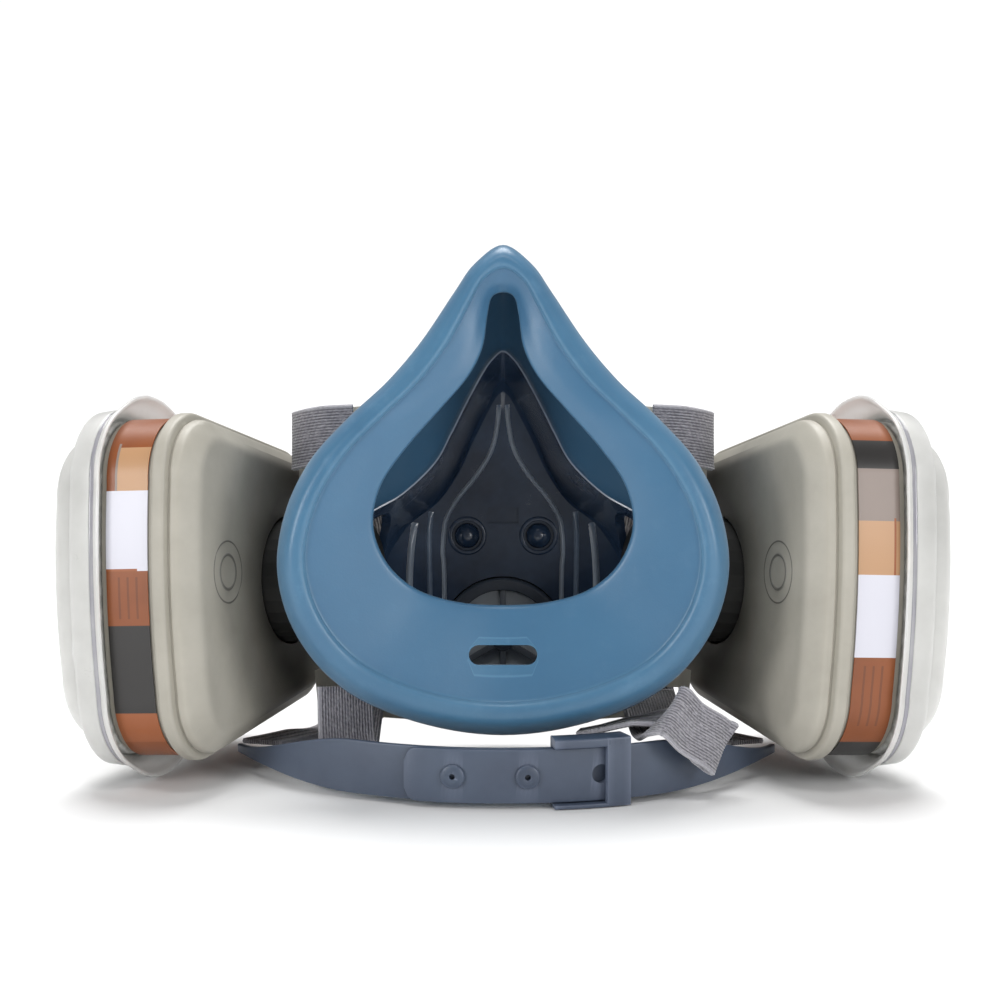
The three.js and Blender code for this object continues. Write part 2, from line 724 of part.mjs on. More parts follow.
function taper(angle) {
  return THREE.MathUtils.smoothstep(Math.abs(angle), bandTaperStart, bandTip);
}

function bandBottom(angle) {
  return THREE.MathUtils.lerp(bandLift, tipHeight - 1.2, taper(angle));
}

function bandTop(angle) {
  return THREE.MathUtils.lerp(bandLift + bandWidth, tipHeight + 1.2, taper(angle));
}

function pegAt(angle, geometry) {
  // the geometry's axis is X, pointing out from the band's centre of curvature
  const turn = new THREE.Matrix4().makeRotationZ(degrees(angle - 90));
  const place = new THREE.Matrix4().makeTranslation(0, bandCentreY, bandLift + bandWidth / 2);
  return geometry.clone().applyMatrix4(place.multiply(turn));
}

const keeperStart = 9.5;
const keeperEnd = 24;

function makeLeftBand() {
  const inner = bandRadius - bandThickness;
  const strip = arcStrip(inner, bandRadius, -bandTip, keeperEnd, bandBottom, bandTop, 26);
  const front = bandRadius + gap + bandThickness + 2.4;
  const plate = arcStrip(inner - 1.4, inner + 0.2, keeperStart, keeperEnd, 0, keeperTop, 4);
  const bottomFlange = arcStrip(inner - 1.4, front, keeperStart, keeperEnd, 0, bandLift - gap, 4);
  const topFlange = arcStrip(inner - 1.4, front, keeperStart, keeperEnd, bandLift + bandWidth + gap, keeperTop, 4);
  const bar = arcStrip(front - 1.7, front, keeperEnd - 4.6, keeperEnd, 0, keeperTop, 2);
  const pegs = [0, 1].map((k) => {
    const shaft = rodX(2, bandRadius - 1, bandRadius + 2.4, 20);
    const head = rodX(3.3, bandRadius + gap + bandThickness + gap, bandRadius + 3.6, 20);
    return pegAt(firstPeg + k * pegPitch, join(shaft, head));
  });
  return join(strip, plate, bottomFlange, topFlange, bar, ...pegs);
}

function makeRightBand() {
  const inner = bandRadius + gap;
  const strip = arcStrip(inner, inner + bandThickness, -19, bandTip, bandBottom, bandTop, 26);
  const holes = [0, 1, 2].map((k) => (
    pegAt(firstPeg + k * pegPitch, rodX(2.5, bandRadius - 4, bandRadius + 8, 20))
  ));
  return cut(strip, ...holes);
}

addNode(mask, 'face_seal', makeFaceSeal(), 'silicone');
addNode(mask, 'inner_shell', makeInnerShell(), 'shell');
addNode(mask, 'front_yoke', makeYoke(), 'yoke');
addShellStuds();
addExhalationValve();
for (const side of [-1, 1]) {
  addSide(side);
}
addNode(part, 'left_crown_band', makeLeftBand(), 'band');
addNode(part, 'right_crown_band', makeRightBand(), 'band');
addWebbing();

// The mask leans back until its lower tabs reach the floor, then the whole is centred front to back
mask.rotation.x = degrees(maskPitch);
mask.position.z -= new THREE.Box3().setFromObject(mask, true).min.z;
const whole = new THREE.Box3().setFromObject(part, true);
part.position.y = -(whole.min.y + whole.max.y) / 2;

export default part;
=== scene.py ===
# A reusable half-mask respirator seen from the wearer's side, resting on its filter clips and
# crown band keeper. Lengths are in millimetres until a form is built, then in metres.
import json
import math
import bpy
import bmesh
from mathutils import Matrix, Vector


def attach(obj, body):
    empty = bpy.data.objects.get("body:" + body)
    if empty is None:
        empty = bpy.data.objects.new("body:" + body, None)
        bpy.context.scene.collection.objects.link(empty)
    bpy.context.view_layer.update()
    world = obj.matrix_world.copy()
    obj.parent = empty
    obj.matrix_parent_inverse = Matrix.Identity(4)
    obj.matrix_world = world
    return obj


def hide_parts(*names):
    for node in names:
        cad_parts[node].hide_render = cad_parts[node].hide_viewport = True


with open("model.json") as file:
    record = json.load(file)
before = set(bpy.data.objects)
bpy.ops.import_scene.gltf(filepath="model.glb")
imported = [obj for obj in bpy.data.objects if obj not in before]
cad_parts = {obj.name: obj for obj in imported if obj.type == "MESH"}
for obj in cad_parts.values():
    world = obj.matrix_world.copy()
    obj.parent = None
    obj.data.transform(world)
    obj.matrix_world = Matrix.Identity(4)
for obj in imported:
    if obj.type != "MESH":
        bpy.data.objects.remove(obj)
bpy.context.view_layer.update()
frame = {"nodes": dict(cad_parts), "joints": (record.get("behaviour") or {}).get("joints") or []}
nodes = frame["nodes"]
joints = {joint["name"]: joint for joint in frame["joints"]}
millimetre = 0.001
sides = {"right": 1, "left": -1}
print("frame loaded:", len(nodes), "nodes")


# Frames that pieces are drawn in

maskSetting = {
    "portCentre": (57.5, 44, 53),  # where a port's axis meets its cartridge, right side
    "portSweep": 24,  # degrees the axis points forward of sideways
    "portLean": 2,  # degrees the cartridge's top leans outward
}


def maskFrame():
    # Y forward from the wearer and Z up the face
    forward = Vector(joints["exhalation_flap_lift"]["axis"]).normalized()
    right = Vector((1, 0, 0))
    turn = Matrix((right, forward, right.cross(forward))).transposed()
    centre = turn @ Vector(maskSetting["portCentre"])
    origin = Vector(joints["right_cartridge_twist"]["pos_m"]) / millimetre - centre
    return Matrix.Translation(origin) @ turn.to_4x4()


mask = maskFrame()
port = (
    mask
    @ Matrix.Translation(maskSetting["portCentre"])
    @ Matrix.Rotation(math.radians(maskSetting["portSweep"]), 4, "Z")
    @ Matrix.Rotation(math.radians(maskSetting["portLean"]), 4, "Y")
)
standing = Matrix.Translation((0, mask.translation.y, 0))  # the crown band's frame
mirror = Matrix.Scale(-1, 4, (1, 0, 0))


# Curves

def between(a, b, share):
    return tuple(p + (q - p) * share for p, q in zip(a, b))


def through(a, b, c, d, share):
    # Catmull-Rom from b to c
    def one(p, q, r, s):
        bend = (2 * p - 5 * q + 4 * r - s) * share ** 2
        twist = (3 * q - p - 3 * r + s) * share ** 3
        return 0.5 * (2 * q + (r - p) * share + bend + twist)
    return tuple(one(*four) for four in zip(a, b, c, d))


def smoothLoop(points, steps):
    count = len(points)
    made = []
    for k in range(count):
        four = [points[(k + shift) % count] for shift in (-1, 0, 1, 2)]
        made += [through(*four, step / steps) for step in range(steps)]
    return made


def smoothLine(points, steps):
    # chord lengths set the pace, so that uneven stops don't overshoot
    last = len(points) - 1
    made = []
    for k in range(last):
        four = [Vector(points[max(0, min(last, k + shift))]) for shift in (-1, 0, 1, 2)]
        made += [chordPoint(four, step / steps) for step in range(steps)]
    return made + [Vector(points[last])]


def chordPoint(four, share):
    times = [0.0]
    for a, b in zip(four, four[1:]):
        times.append(times[-1] + max((b - a).length, 0.01) ** 0.5)
    now = times[1] + (times[2] - times[1]) * share

    def lerp(a, b, first, second):
        return a + (b - a) * ((now - first) / (second - first))

    low = [lerp(four[k], four[k + 1], times[k], times[k + 1]) for k in range(3)]
    middle = [lerp(low[k], low[k + 1], times[k], times[k + 2]) for k in range(2)]
    return lerp(middle[0], middle[1], times[1], times[2])


def softened(corners, steps=3, closed=False):
    # each corner is its values and, last, the radius that rounds it
    made = []
    count = len(corners)
    for k, corner in enumerate(corners):
        at, radius = corner[:-1], corner[-1]
        before, after = corners[k - 1][:-1], corners[(k + 1) % count][:-1]
        ends = not closed and k in (0, count - 1)
        if radius == 0 or ends:
            made.append(at)
            continue
        start = between(at, before, min(0.49, radius / max(math.dist(at[:2], before[:2]), 0.01)))
        finish = between(at, after, min(0.49, radius / max(math.dist(at[:2], after[:2]), 0.01)))
        for step in range(steps + 1):
            share = step / steps
            made.append(between(between(start, at, share), between(at, finish, share), share))
    return made


def smoothStep(value, low, high):
    share = max(0.0, min(1.0, (value - low) / (high - low)))
    return share * share * (3 - 2 * share)


# Forms: the points and faces of one piece

class Form:
    def __init__(self):
        self.points = []
        self.faces = []
        self.places = []  # what a woven or printed finish reads
        self.finishes = []

    def loft(self, rings, closed=False, around=True, finish=0, places=None):
        # rings of equal count, joined in turn; finish is a number or a function of the ring's place
        start = len(self.points)
        count = len(rings[0])
        finishOf = finish if callable(finish) else lambda ring: finish
        self.points += [Vector(point) for ring in rings for point in ring]
        self.places += [tuple(place) for ring in places or rings for place in ring]
        spans = len(rings) if closed else len(rings) - 1
        for ring in range(spans):
            here = start + ring * count
            after = start + (ring + 1) % len(rings) * count
            for k in range(count if around else count - 1):
                other = (k + 1) % count
                self.faces.append((here + k, here + other, after + other, after + k))
                self.finishes.append(finishOf(ring))
        if around and not closed:
            self.cap(start, count, finishOf(0))
            self.cap(start + (len(rings) - 1) * count, count, finishOf(spans - 1))
        return self

    def cap(self, start, count, finish):
        ring = range(start, start + count)
        hub = len(self.points)
        self.points.append(sum((self.points[k] for k in ring), Vector()) / count)
        self.places.append(tuple(sum(self.places[k][axis] for k in ring) / count for axis in range(3)))
        for k in range(count):
            self.faces.append((start + k, start + (k + 1) % count, hub))
            self.finishes.append(finish)

    def add(self, other, matrix=None):
        start = len(self.points)
        self.points += [matrix @ point if matrix else point for point in other.points]
        self.places += other.places
        self.faces += [tuple(start + k for k in face) for face in other.faces]
        self.finishes += other.finishes
        return self

    def lathe(self, profile, segments=48, axis="Y", closed=True):
        # profile points are (radius, height along the axis)
        rings = []
        for step in range(segments):
            turn = 2 * math.pi * step / segments
            a, b = math.cos(turn), math.sin(turn)
            rings.append([turned(radius * a, radius * b, height, axis) for radius, height in profile])
        return self.loft(rings, closed=True, around=closed)

    def mesh(self, name, matrix, sharp):
        mesh = bpy.data.meshes.new(name)
        scaled = Matrix.Scale(millimetre, 4) @ matrix
        mesh.from_pydata([scaled @ point for point in self.points], [], self.faces)
        mesh.polygons.foreach_set("material_index", self.finishes)
        place = mesh.attributes.new("place", "FLOAT_VECTOR", "POINT")
        place.data.foreach_set("vector", [value for triple in self.places for value in triple])
        shape = bmesh.new()
        shape.from_mesh(mesh)
        bmesh.ops.remove_doubles(shape, verts=shape.verts, dist=1e-6)
        bmesh.ops.recalc_face_normals(shape, faces=shape.faces)
        shape.to_mesh(mesh)
        shape.free()
        mesh.polygons.foreach_set("use_smooth", [True] * len(mesh.polygons))
        mesh.set_sharp_from_angle(angle=math.radians(sharp))
        return mesh


def turned(a, b, height, axis):
    if axis == "X":
        return Vector((height, a, b))
    if axis == "Y":
        return Vector((a, height, b))
    return Vector((a, b, height))


def build(name, form, matrix, body, finishes, stands=(), side=1, sharp=38, holes=()):
    place = matrix if side > 0 else mirror @ matrix
    mesh = form.mesh(name, place, sharp)
    piece = bpy.data.objects.new(name, mesh)
    bpy.context.scene.collection.objects.link(piece)
    for finish in finishes:
        mesh.materials.append(finish)
    if holes:
        carve(piece, holes, place, sharp)
    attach(piece, body)
    if stands:
        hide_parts(*stands)
    return piece


def carve(piece, holes, place, sharp):
    cutter = Form()
    for hole in holes:
        cutter.add(hole)
    tool = bpy.data.objects.new("cutter", cutter.mesh("cutter", place, sharp))
    bpy.context.scene.collection.objects.link(tool)
    modifier = piece.modifiers.new("holes", "BOOLEAN")
    modifier.operation = "DIFFERENCE"
    modifier.solver = "EXACT"
    modifier.use_self = True
    modifier.object = tool
    settle(piece, sharp)
    bpy.data.objects.remove(tool)


def settle(piece, sharp):
    evaluated = piece.evaluated_get(bpy.context.evaluated_depsgraph_get())
    mesh = bpy.data.meshes.new_from_object(evaluated)
    piece.modifiers.clear()
    piece.data = mesh
    mesh.polygons.foreach_set("use_smooth", [True] * len(mesh.polygons))
    mesh.set_sharp_from_angle(angle=math.radians(sharp))


def rod(radius, low, high, axis="Y", segments=40, centre=(0, 0, 0)):
    profile = [(0, low), (radius, low), (radius, high), (0, high)]
    return Form().add(Form().lathe(profile, segments, axis, closed=False), Matrix.Translation(centre))


def block(low, high, place=None):
    x, y, z = zip(low, high)
    rings = [[(u, y[0], z[0]), (u, y[1], z[0]), (u, y[1], z[1]), (u, y[0], z[1])] for u in x]
    return Form().loft(rings, places=[[place] * 4] * 2 if place else None)


# Finishes

class Value:
    # a socket that takes part in Python sums
    def __init__(self, finish, socket):
        self.finish = finish
        self.socket = socket

    def maths(self, operation, first, second):
        return self.finish.node("ShaderNodeMath", {"operation": operation}, {0: first, 1: second})

    def __add__(self, other):
        return self.maths("ADD", self, other)

    def __radd__(self, other):
        return self.maths("ADD", other, self)

    def __sub__(self, other):
        return self.maths("SUBTRACT", self, other)

    def __rsub__(self, other):
        return self.maths("SUBTRACT", other, self)

    def __mul__(self, other):
        return self.maths("MULTIPLY", self, other)

    def __rmul__(self, other):
        return self.maths("MULTIPLY", other, self)

    def __gt__(self, other):
        return self.maths("GREATER_THAN", self, other)

    def __lt__(self, other):
        return self.maths("LESS_THAN", self, other)


def paint(red, green, blue):
    def linear(value):
        value /= 255
        return value / 12.92 if value <= 0.04045 else ((value + 0.055) / 1.055) ** 2.4
    return (linear(red), linear(green), linear(blue), 1)


class Finish:
    def __init__(self, name, fixed=None):
        self.material = bpy.data.materials.new(name)
        self.material.use_nodes = True
        self.tree = self.material.node_tree
        self.shader = self.tree.nodes["Principled BSDF"]
        self.shader.inputs["Subsurface Radius"].default_value = (0.5, 0.5, 0.5)
        for socket, value in (fixed or {}).items():
            self.shader.inputs[socket].default_value = value

    def node(self, kind, settings=None, inputs=None, output=0):
        made = self.tree.nodes.new(kind)
        for key, value in (settings or {}).items():
            setattr(made, key, value)
        for key, value in (inputs or {}).items():
            self.feed(made.inputs[key], value)
        return Value(self, made.outputs[output])

    def feed(self, socket, value):
        if isinstance(value, Value):
            self.tree.links.new(value.socket, socket)
        else:
            socket.default_value = value

    def place(self):
        # millimetres of the resting object
        where = self.node("ShaderNodeTexCoord", output="Object")
        inputs = {0: where, 1: [1 / millimetre] * 3}
        return self.node("ShaderNodeVectorMath", {"operation": "MULTIPLY"}, inputs)

    def drawn(self):
        # the form's own places: along and across a strap, or a cartridge's own frame
        return self.node("ShaderNodeAttribute", {"attribute_name": "place"}, output="Vector")

    def parts(self, vector):
        split = self.node("ShaderNodeSeparateXYZ", {}, {0: vector}).socket.node
        return [Value(self, socket) for socket in split.outputs]

    def noise(self, size, detail=3, rough=0.5, where=None):
        # size is the width of the noise's features in millimetres
        inputs = {"Vector": where or self.place(), "Scale": 1 / size, "Detail": detail, "Roughness": rough}
        return self.node("ShaderNodeTexNoise", {}, inputs)

    def cells(self, size):
        return self.node("ShaderNodeTexVoronoi", {}, {"Vector": self.place(), "Scale": 1 / size})

    def sine(self, value, pitch, phase=0):
        turn = value * (2 * math.pi / pitch) + phase
        return self.node("ShaderNodeMath", {"operation": "SINE"}, {0: turn}) * 0.5 + 0.5

    def ramp(self, value, low, high):
        return self.node("ShaderNodeMapRange", {"clamp": True}, {0: value, 1: low, 2: high, 3: 0.0, 4: 1.0})

    def blend(self, share, first, second):
        return self.node("ShaderNodeMix", {"data_type": "RGBA"}, {0: share, 6: first, 7: second}, 2)

    def edges(self, low, high):
        raised = self.node("ShaderNodeNewGeometry", output="Pointiness")
        return self.ramp(raised, low, high)

    def bump(self, height, depth, strength=1.0):
        # depth is the height's full range in millimetres
        inputs = {"Height": height, "Distance": depth * millimetre, "Strength": strength}
        return self.node("ShaderNodeBump", {}, inputs)

    def show(self, **looks):
        names = {"colour": "Base Color", "coat": "Coat Weight"}
        for key, value in looks.items():
            self.feed(self.shader.inputs[names.get(key, key.capitalize())], value)
        return self.material


# what a moulded piece takes unless its own look says otherwise
plainPlastic = {"wearAndHighlight": 0.4, "grain": 0.5, "grainDepth": 0.02, "fixed": {}}
plastics = {
    "shellPlastic": {
        "base": (48, 68, 94), "shade": (30, 46, 68), "wornAndHighlight": (150, 160, 176), "wearAndHighlight": 0,
        "roughness": 0.24, "grain": 0.35, "grainDepth": 0.012,
        "fixed": {"Coat Weight": 0.35, "Coat Roughness": 0.08},
        "paintedHighlightEdge": (6.8, 7.05, 9, 9.3),  # where it starts, is full, stops being full and ends
        "paintedShadeSlot": (6, 7, 9), "paintedShadeSlotPlace": 45,
    },
    # painted highlight: the ridges take a lighter copy of the shell's plastic, and their edges are
    # brightened further
    "paintedHighlightRidgePlastic": {
        "base": (120, 136, 156), "shade": (84, 100, 122), "wornAndHighlight": (206, 214, 222), "wearAndHighlight": 0.8,
        "roughness": 0.2, "grain": 0.35, "grainDepth": 0.01,
        "fixed": {"Coat Weight": 0.7, "Coat Roughness": 0.08},
    },
    "cartridgePlastic": {
        "base": (172, 168, 157), "shade": (158, 154, 143), "wornAndHighlight": (204, 200, 190), "wearAndHighlight": 0.45,
        "roughness": 0.5, "fixed": {"Subsurface Weight": 0.05, "Subsurface Scale": 0.002},
        # painted shade on the flat face around the port: its colour and the reach it fades over
        "paintedPortShade": (34, 33, 30), "paintedPortShadeReach": (17, 36),
    },
    "gridPlastic": {
        "base": (150, 146, 136), "shade": (136, 132, 122), "wornAndHighlight": (186, 182, 172),
        "roughness": 0.5,
    },
    "clipPlastic": {
        "base": (204, 204, 201), "shade": (190, 190, 187), "wornAndHighlight": (240, 240, 240), "wearAndHighlight": 0.5,
        "roughness": 0.32, "grain": 0.6, "grainDepth": 0.01,
        "fixed": {
            "Subsurface Weight": 0.6, "Subsurface Scale": 0.012, "Coat Weight": 0.2, "Coat Roughness": 0.2,
        },
    },
    "clearPlastic": {
        "base": (214, 214, 218), "shade": (186, 184, 196), "wornAndHighlight": (255, 255, 255), "wearAndHighlight": 0.6,
        "roughness": 0.12, "grain": 1.5,
        "fixed": {"Transmission Weight": 0.45, "IOR": 1.46, "Coat Weight": 0.8, "Coat Roughness": 0.04},
    },
    "yokePlastic": {
        "base": (214, 209, 194), "shade": (200, 194, 178), "wornAndHighlight": (236, 232, 220),
        "roughness": 0.45, "fixed": {"Subsurface Weight": 0.06, "Subsurface Scale": 0.002},
    },
    "valvePlastic": {
        "base": (54, 64, 78), "shade": (42, 52, 66), "wornAndHighlight": (150, 154, 160), "wearAndHighlight": 0.35,
        "roughness": 0.42, "grain": 0.4, "grainDepth": 0.015,
    },
    "coverPlastic": {
        "base": (58, 68, 84), "shade": (44, 52, 66), "wornAndHighlight": (110, 118, 132),
        "roughness": 0.4, "grain": 0.35, "fixed": {"Coat Weight": 0.15, "Coat Roughness": 0.25},
    },
    "bandPlastic": {
        "base": (68, 80, 98), "shade": (56, 66, 84), "wornAndHighlight": (132, 142, 164), "wearAndHighlight": 0.5,
        "roughness": 0.42, "grain": 0.45,
        "fixed": {
            "Subsurface Weight": 0.08, "Subsurface Scale": 0.003, "Coat Weight": 0.1, "Coat Roughness": 0.3,
        },
    },
    "gasketRubber": {
        "base": (38, 38, 40), "shade": (28, 28, 30), "wornAndHighlight": (66, 66, 68),
        "roughness": 0.7, "grain": 0.3, "grainDepth": 0.03,
    },
    "flapSilicone": {
        "base": (196, 202, 208), "shade": (178, 186, 194), "wornAndHighlight": (206, 212, 216), "wearAndHighlight": 0.3,
        "roughness": 0.38, "grain": 0.6, "grainDepth": 0.01,
        "fixed": {"Subsurface Weight": 0.2, "Subsurface Scale": 0.002},
    },
}


def mouldedPlastic(name):
    look = {**plainPlastic, **plastics[name]}
    finish = Finish(name, look["fixed"])
    patches = finish.ramp(finish.noise(22, 4, 0.6), 0.35, 0.68)
    colour = finish.blend(patches, paint(*look["base"]), paint(*look["shade"]))
    if "paintedHighlightEdge" in look:
        # painted highlight along the moulded edge all round
        around, _, _ = finish.parts(finish.drawn())
        first, second, third, fourth = look["paintedHighlightEdge"]
        edge = finish.ramp(around, first, second) * (1 - finish.ramp(around, third, fourth))
        colour = finish.blend(edge * 0.7, colour, paint(*look["wornAndHighlight"]))
        # painted shade: the slot's faces are painted black and made metallic, so they reflect nothing
        paintedShadeSlot = around > look["paintedShadeSlotPlace"]
        colour = finish.blend(paintedShadeSlot, colour, paint(*look["paintedShadeSlot"]))
        finish.show(metallic=paintedShadeSlot, coat=(1 - paintedShadeSlot) * look["fixed"]["Coat Weight"])
    if "paintedPortShade" in look:
        # painted shade: the flat face darkens towards the port, where the seal shades it
        outward, forward, up = finish.parts(finish.drawn())
        square = forward * forward + up * up * 0.45
        reach = finish.node("ShaderNodeMath", {"operation": "SQRT"}, {0: square})
        paintedPortShadeMask = (1 - finish.ramp(reach + finish.noise(14, 2) * 3, *look["paintedPortShadeReach"])) * (outward < 1.5)
        colour = finish.blend(paintedPortShadeMask * 0.85, colour, paint(*look["paintedPortShade"]))
    # brightened edges: edge wear on most plastics, a painted highlight on the ridges
    wornAndHighlight = finish.edges(0.51, 0.6) * look["wearAndHighlight"]
    colour = finish.blend(wornAndHighlight, colour, paint(*look["wornAndHighlight"]))
    grain = finish.noise(look["grain"], 2, 0.6)
    smears = finish.noise(9, 3, 0.55)
    roughness = look["roughness"] + (smears - 0.5) * 0.16 + (grain - 0.5) * 0.08
    normal = finish.bump(grain + smears * 0.6, look["grainDepth"])
    return finish.show(colour=colour, roughness=roughness, normal=normal)


siliconeLook = {
    # flap is painted shade on the inner flap, and bloom also colours the painted highlight by the crease
    "base": (70, 115, 146), "deep": (55, 97, 129), "bloom": (104, 148, 178), "flap": (60, 102, 135),
    # inside is painted shade on the inner walls
    "inside": (32, 64, 88),
    "crease": 9.0,  # how many section points from the shell the soft crease lies
    "roughness": 0.4, "fixed": {"Subsurface Weight": 0.12, "Subsurface Scale": 0.004, "Sheen Weight": 0.12},
}


def sealSilicone():
    look = siliconeLook
    finish = Finish("sealSilicone", look["fixed"])
    finish.shader.inputs["Subsurface Radius"].default_value = (0.4, 0.8, 1.0)
    clouds = finish.ramp(finish.noise(26, 4, 0.6), 0.34, 0.7)
    colour = finish.blend(clouds * 0.55, paint(*look["base"]), paint(*look["deep"]))
    bloom = finish.ramp(finish.noise(7, 5, 0.7), 0.55, 0.78)
    colour = finish.blend(bloom * 0.22, colour, paint(*look["bloom"]))
    around, _, _ = finish.parts(finish.drawn())
    # painted shade: the inner flap inside the crease is darkened
    flap = finish.ramp(around, look["crease"] - 0.7, look["crease"] + 0.5)
    colour = finish.blend(flap * 0.6, colour, paint(*look["flap"]))
    # painted shade: the inner walls towards the shell are darkened
    inside = finish.ramp(around, 15.5, 17.5) * (1 - finish.ramp(around, 24, 25))
    colour = finish.blend(inside * 0.75, colour, paint(*look["inside"]))
    # painted highlight: a lighter streak along the rolled rim just outside the crease, in the bloom colour
    paintedCreaseHighlight = finish.ramp(around, look["crease"] - 2.2, look["crease"] - 0.9) * (1 - flap)
    colour = finish.blend(paintedCreaseHighlight * 0.35, colour, paint(*look["bloom"]))
    skin = finish.noise(0.5, 3, 0.6)
    roughness = look["roughness"] + (bloom - 0.5) * 0.12 + (skin - 0.5) * 0.1
    normal = finish.bump(skin + finish.noise(3, 2) * 1.4, 0.03)
    return finish.show(colour=colour, roughness=roughness, normal=normal)


webbingLook = {
    "yarn": (158, 156, 164), "shade": (98, 96, 104), "light": (200, 198, 206), "pitch": 0.78, "stitch": 1.3,
    "selvedge": (176, 175, 182), "halfWidth": 7.8,
}


def knittedWebbing():
    look = webbingLook
    finish = Finish("knittedWebbing", {"Roughness": 0.9, "Sheen Weight": 0.5, "Sheen Roughness": 0.5})
    drawn = finish.drawn()
    along, across, _ = finish.parts(drawn)
    rib = finish.sine(across, look["pitch"])
    lean = finish.sine(along + across * 0.55, look["stitch"])
    knit = rib * 0.62 + lean * rib * 0.38
    threads = finish.node("ShaderNodeVectorMath", {"operation": "MULTIPLY"}, {0: drawn, 1: (0.5, 2.2, 1)})
    speckle = finish.noise(0.8, 2, 0.7, threads)
    colour = finish.blend(finish.ramp(knit, 0.1, 0.75), paint(*look["shade"]), paint(*look["yarn"]))
    colour = finish.blend(finish.ramp(speckle, 0.5, 0.72) * 0.7, colour, paint(*look["light"]))
    gaps = finish.ramp(finish.noise(0.6, 2, 0.7, threads), 0.62, 0.75)
    colour = finish.blend(gaps * 0.35, colour, paint(*look["shade"]))
    distance = finish.node("ShaderNodeMath", {"operation": "ABSOLUTE"}, {0: across})
    border = finish.ramp(distance, look["halfWidth"] - 1.1, look["halfWidth"] - 0.6)
    colour = finish.blend(border * 0.65, colour, paint(*look["selvedge"]))
    normal = finish.bump(knit + speckle * 0.5, 0.28)
    return finish.show(colour=colour, normal=normal)


feltLook = {"base": (240, 240, 236), "shade": (206, 206, 200), "quilt": 6.5}


def filterFelt():
    look = feltLook
    finish = Finish("filterFelt", {"Roughness": 0.95, "Sheen Weight": 0.4})
    _, forward, up = finish.parts(finish.drawn())
    quilt = finish.sine(forward + up, look["quilt"]) * finish.sine(forward - up, look["quilt"])
    fibres = finish.noise(0.5, 4, 0.7)
    tufts = finish.ramp(quilt + fibres * 0.5, 0.2, 0.8)
    colour = finish.blend(tufts, paint(*look["shade"]), paint(*look["base"]))
    normal = finish.bump(quilt + fibres * 0.6, 0.5)
    return finish.show(colour=colour, normal=normal)


def charcoalGranules():
    finish = Finish("charcoalGranules", {"Roughness": 0.8})
    grains = finish.cells(1.1)
    colour = finish.blend(finish.ramp(grains, 0.1, 0.8), paint(48, 47, 46), paint(10, 10, 10))
    return finish.show(colour=colour, normal=finish.bump(grains, 0.6))


labelInks = {
    "paper": (212, 212, 222), "brown": (140, 76, 34), "tan": (184, 142, 104), "black": (38, 36, 35),
    "grey": (136, 122, 114), "rule": (96, 52, 28), "strip": (150, 84, 44), "faded": (128, 68, 30),
}
# what is printed at the near end: ink, lowest and highest place up the cartridge,
# and where across the label it starts and stops
labelBlocks = {
    "left": [
        ("paper", 5, 26.1, 0, 30), ("tan", 26.1, 37.4, 13, 22), ("grey", 26.1, 38.4, 22, 22.7),
        ("black", -32.6, -9.4, 0, 30), ("strip", -40.4, -32.6, 0, 30), ("strip", 5, 5.6, 16, 30),
    ],
    "right": [
        ("black", 31.9, 39.2, 0, 30), ("grey", 18.2, 31.9, 0, 30), ("tan", 4, 18.2, 0, 30),
        ("strip", 4, 19, 23.4, 24), ("paper", -17.8, 4, 0, 30), ("black", -46, -40.4, 0, 30),
    ],
}
labelRules = {"left": [(-7.6, 3.4)], "right": [(-36, -20)]}


def printedLabel(side):
    finish = Finish(side + "PrintedLabel", {"Roughness": 0.5, "Coat Weight": 0.12, "Coat Roughness": 0.2})
    outward, forward, up = finish.parts(finish.drawn())

    def window(value, low, high):
        return (value > low) * (value < high)

    near = forward < -16
    fading = finish.ramp(finish.noise(12, 3), 0.3, 0.7)
    colour = finish.blend(fading, paint(*labelInks["brown"]), paint(*labelInks["faded"]))
    for ink, low, high, start, stop in labelBlocks[side]:
        share = window(up, low, high) * window(outward, start, stop) * near
        colour = finish.blend(share, colour, paint(*labelInks[ink]))
    for low, high in labelRules[side]:
        rows = window(up, low, high) * window(outward, 14.5, 22.5) * near
        lines = (finish.sine(outward, 2.6) > 0.86) * rows
        colour = finish.blend(lines * 0.6, colour, paint(*labelInks["rule"]))
    fibre = finish.noise(0.4, 2)
    roughness = 0.42 + (fibre - 0.5) * 0.2
    return finish.show(colour=colour, roughness=roughness, normal=finish.bump(fibre, 0.01))


# the sleeve colour is painted shade for the shaded gap between seal and cartridge
portLook = {"collar": (206, 198, 176), "paintedShadeSleeve": (34, 34, 33), "collarEnd": -10.5, "collarStart": -16.4}


def portSleevePaintedShade(side):
    # cream where the collar clamps the shell; painted shade darkens the sleeve out to the cartridge
    finish = Finish(side + "PortSleevePaintedShade", {"Coat Weight": 0.1, "Coat Roughness": 0.3})
    axis = Vector(joints[side + "_cartridge_twist"]["axis"]).normalized()
    outward = axis if axis.x * sides[side] > 0 else -axis
    start = outward.dot(Vector(joints[side + "_cartridge_twist"]["pos_m"])) / millimetre
    inputs = {0: finish.place(), 1: tuple(outward)}
    along = finish.node("ShaderNodeVectorMath", {"operation": "DOT_PRODUCT"}, inputs, "Value") - start
    wavy = along + (finish.noise(6, 2) - 0.5) * 0.6
    share = 1 - finish.ramp(wavy, portLook["collarStart"] - 0.4, portLook["collarStart"])
    share = share + finish.ramp(wavy, portLook["collarEnd"], portLook["collarEnd"] + 0.8)
    colour = finish.blend(share, paint(*portLook["collar"]), paint(*portLook["paintedShadeSleeve"]))
    grain = finish.noise(0.5, 2)
    roughness = 0.42 + (grain - 0.5) * 0.14
    return finish.show(colour=colour, roughness=roughness, normal=finish.bump(grain, 0.015))


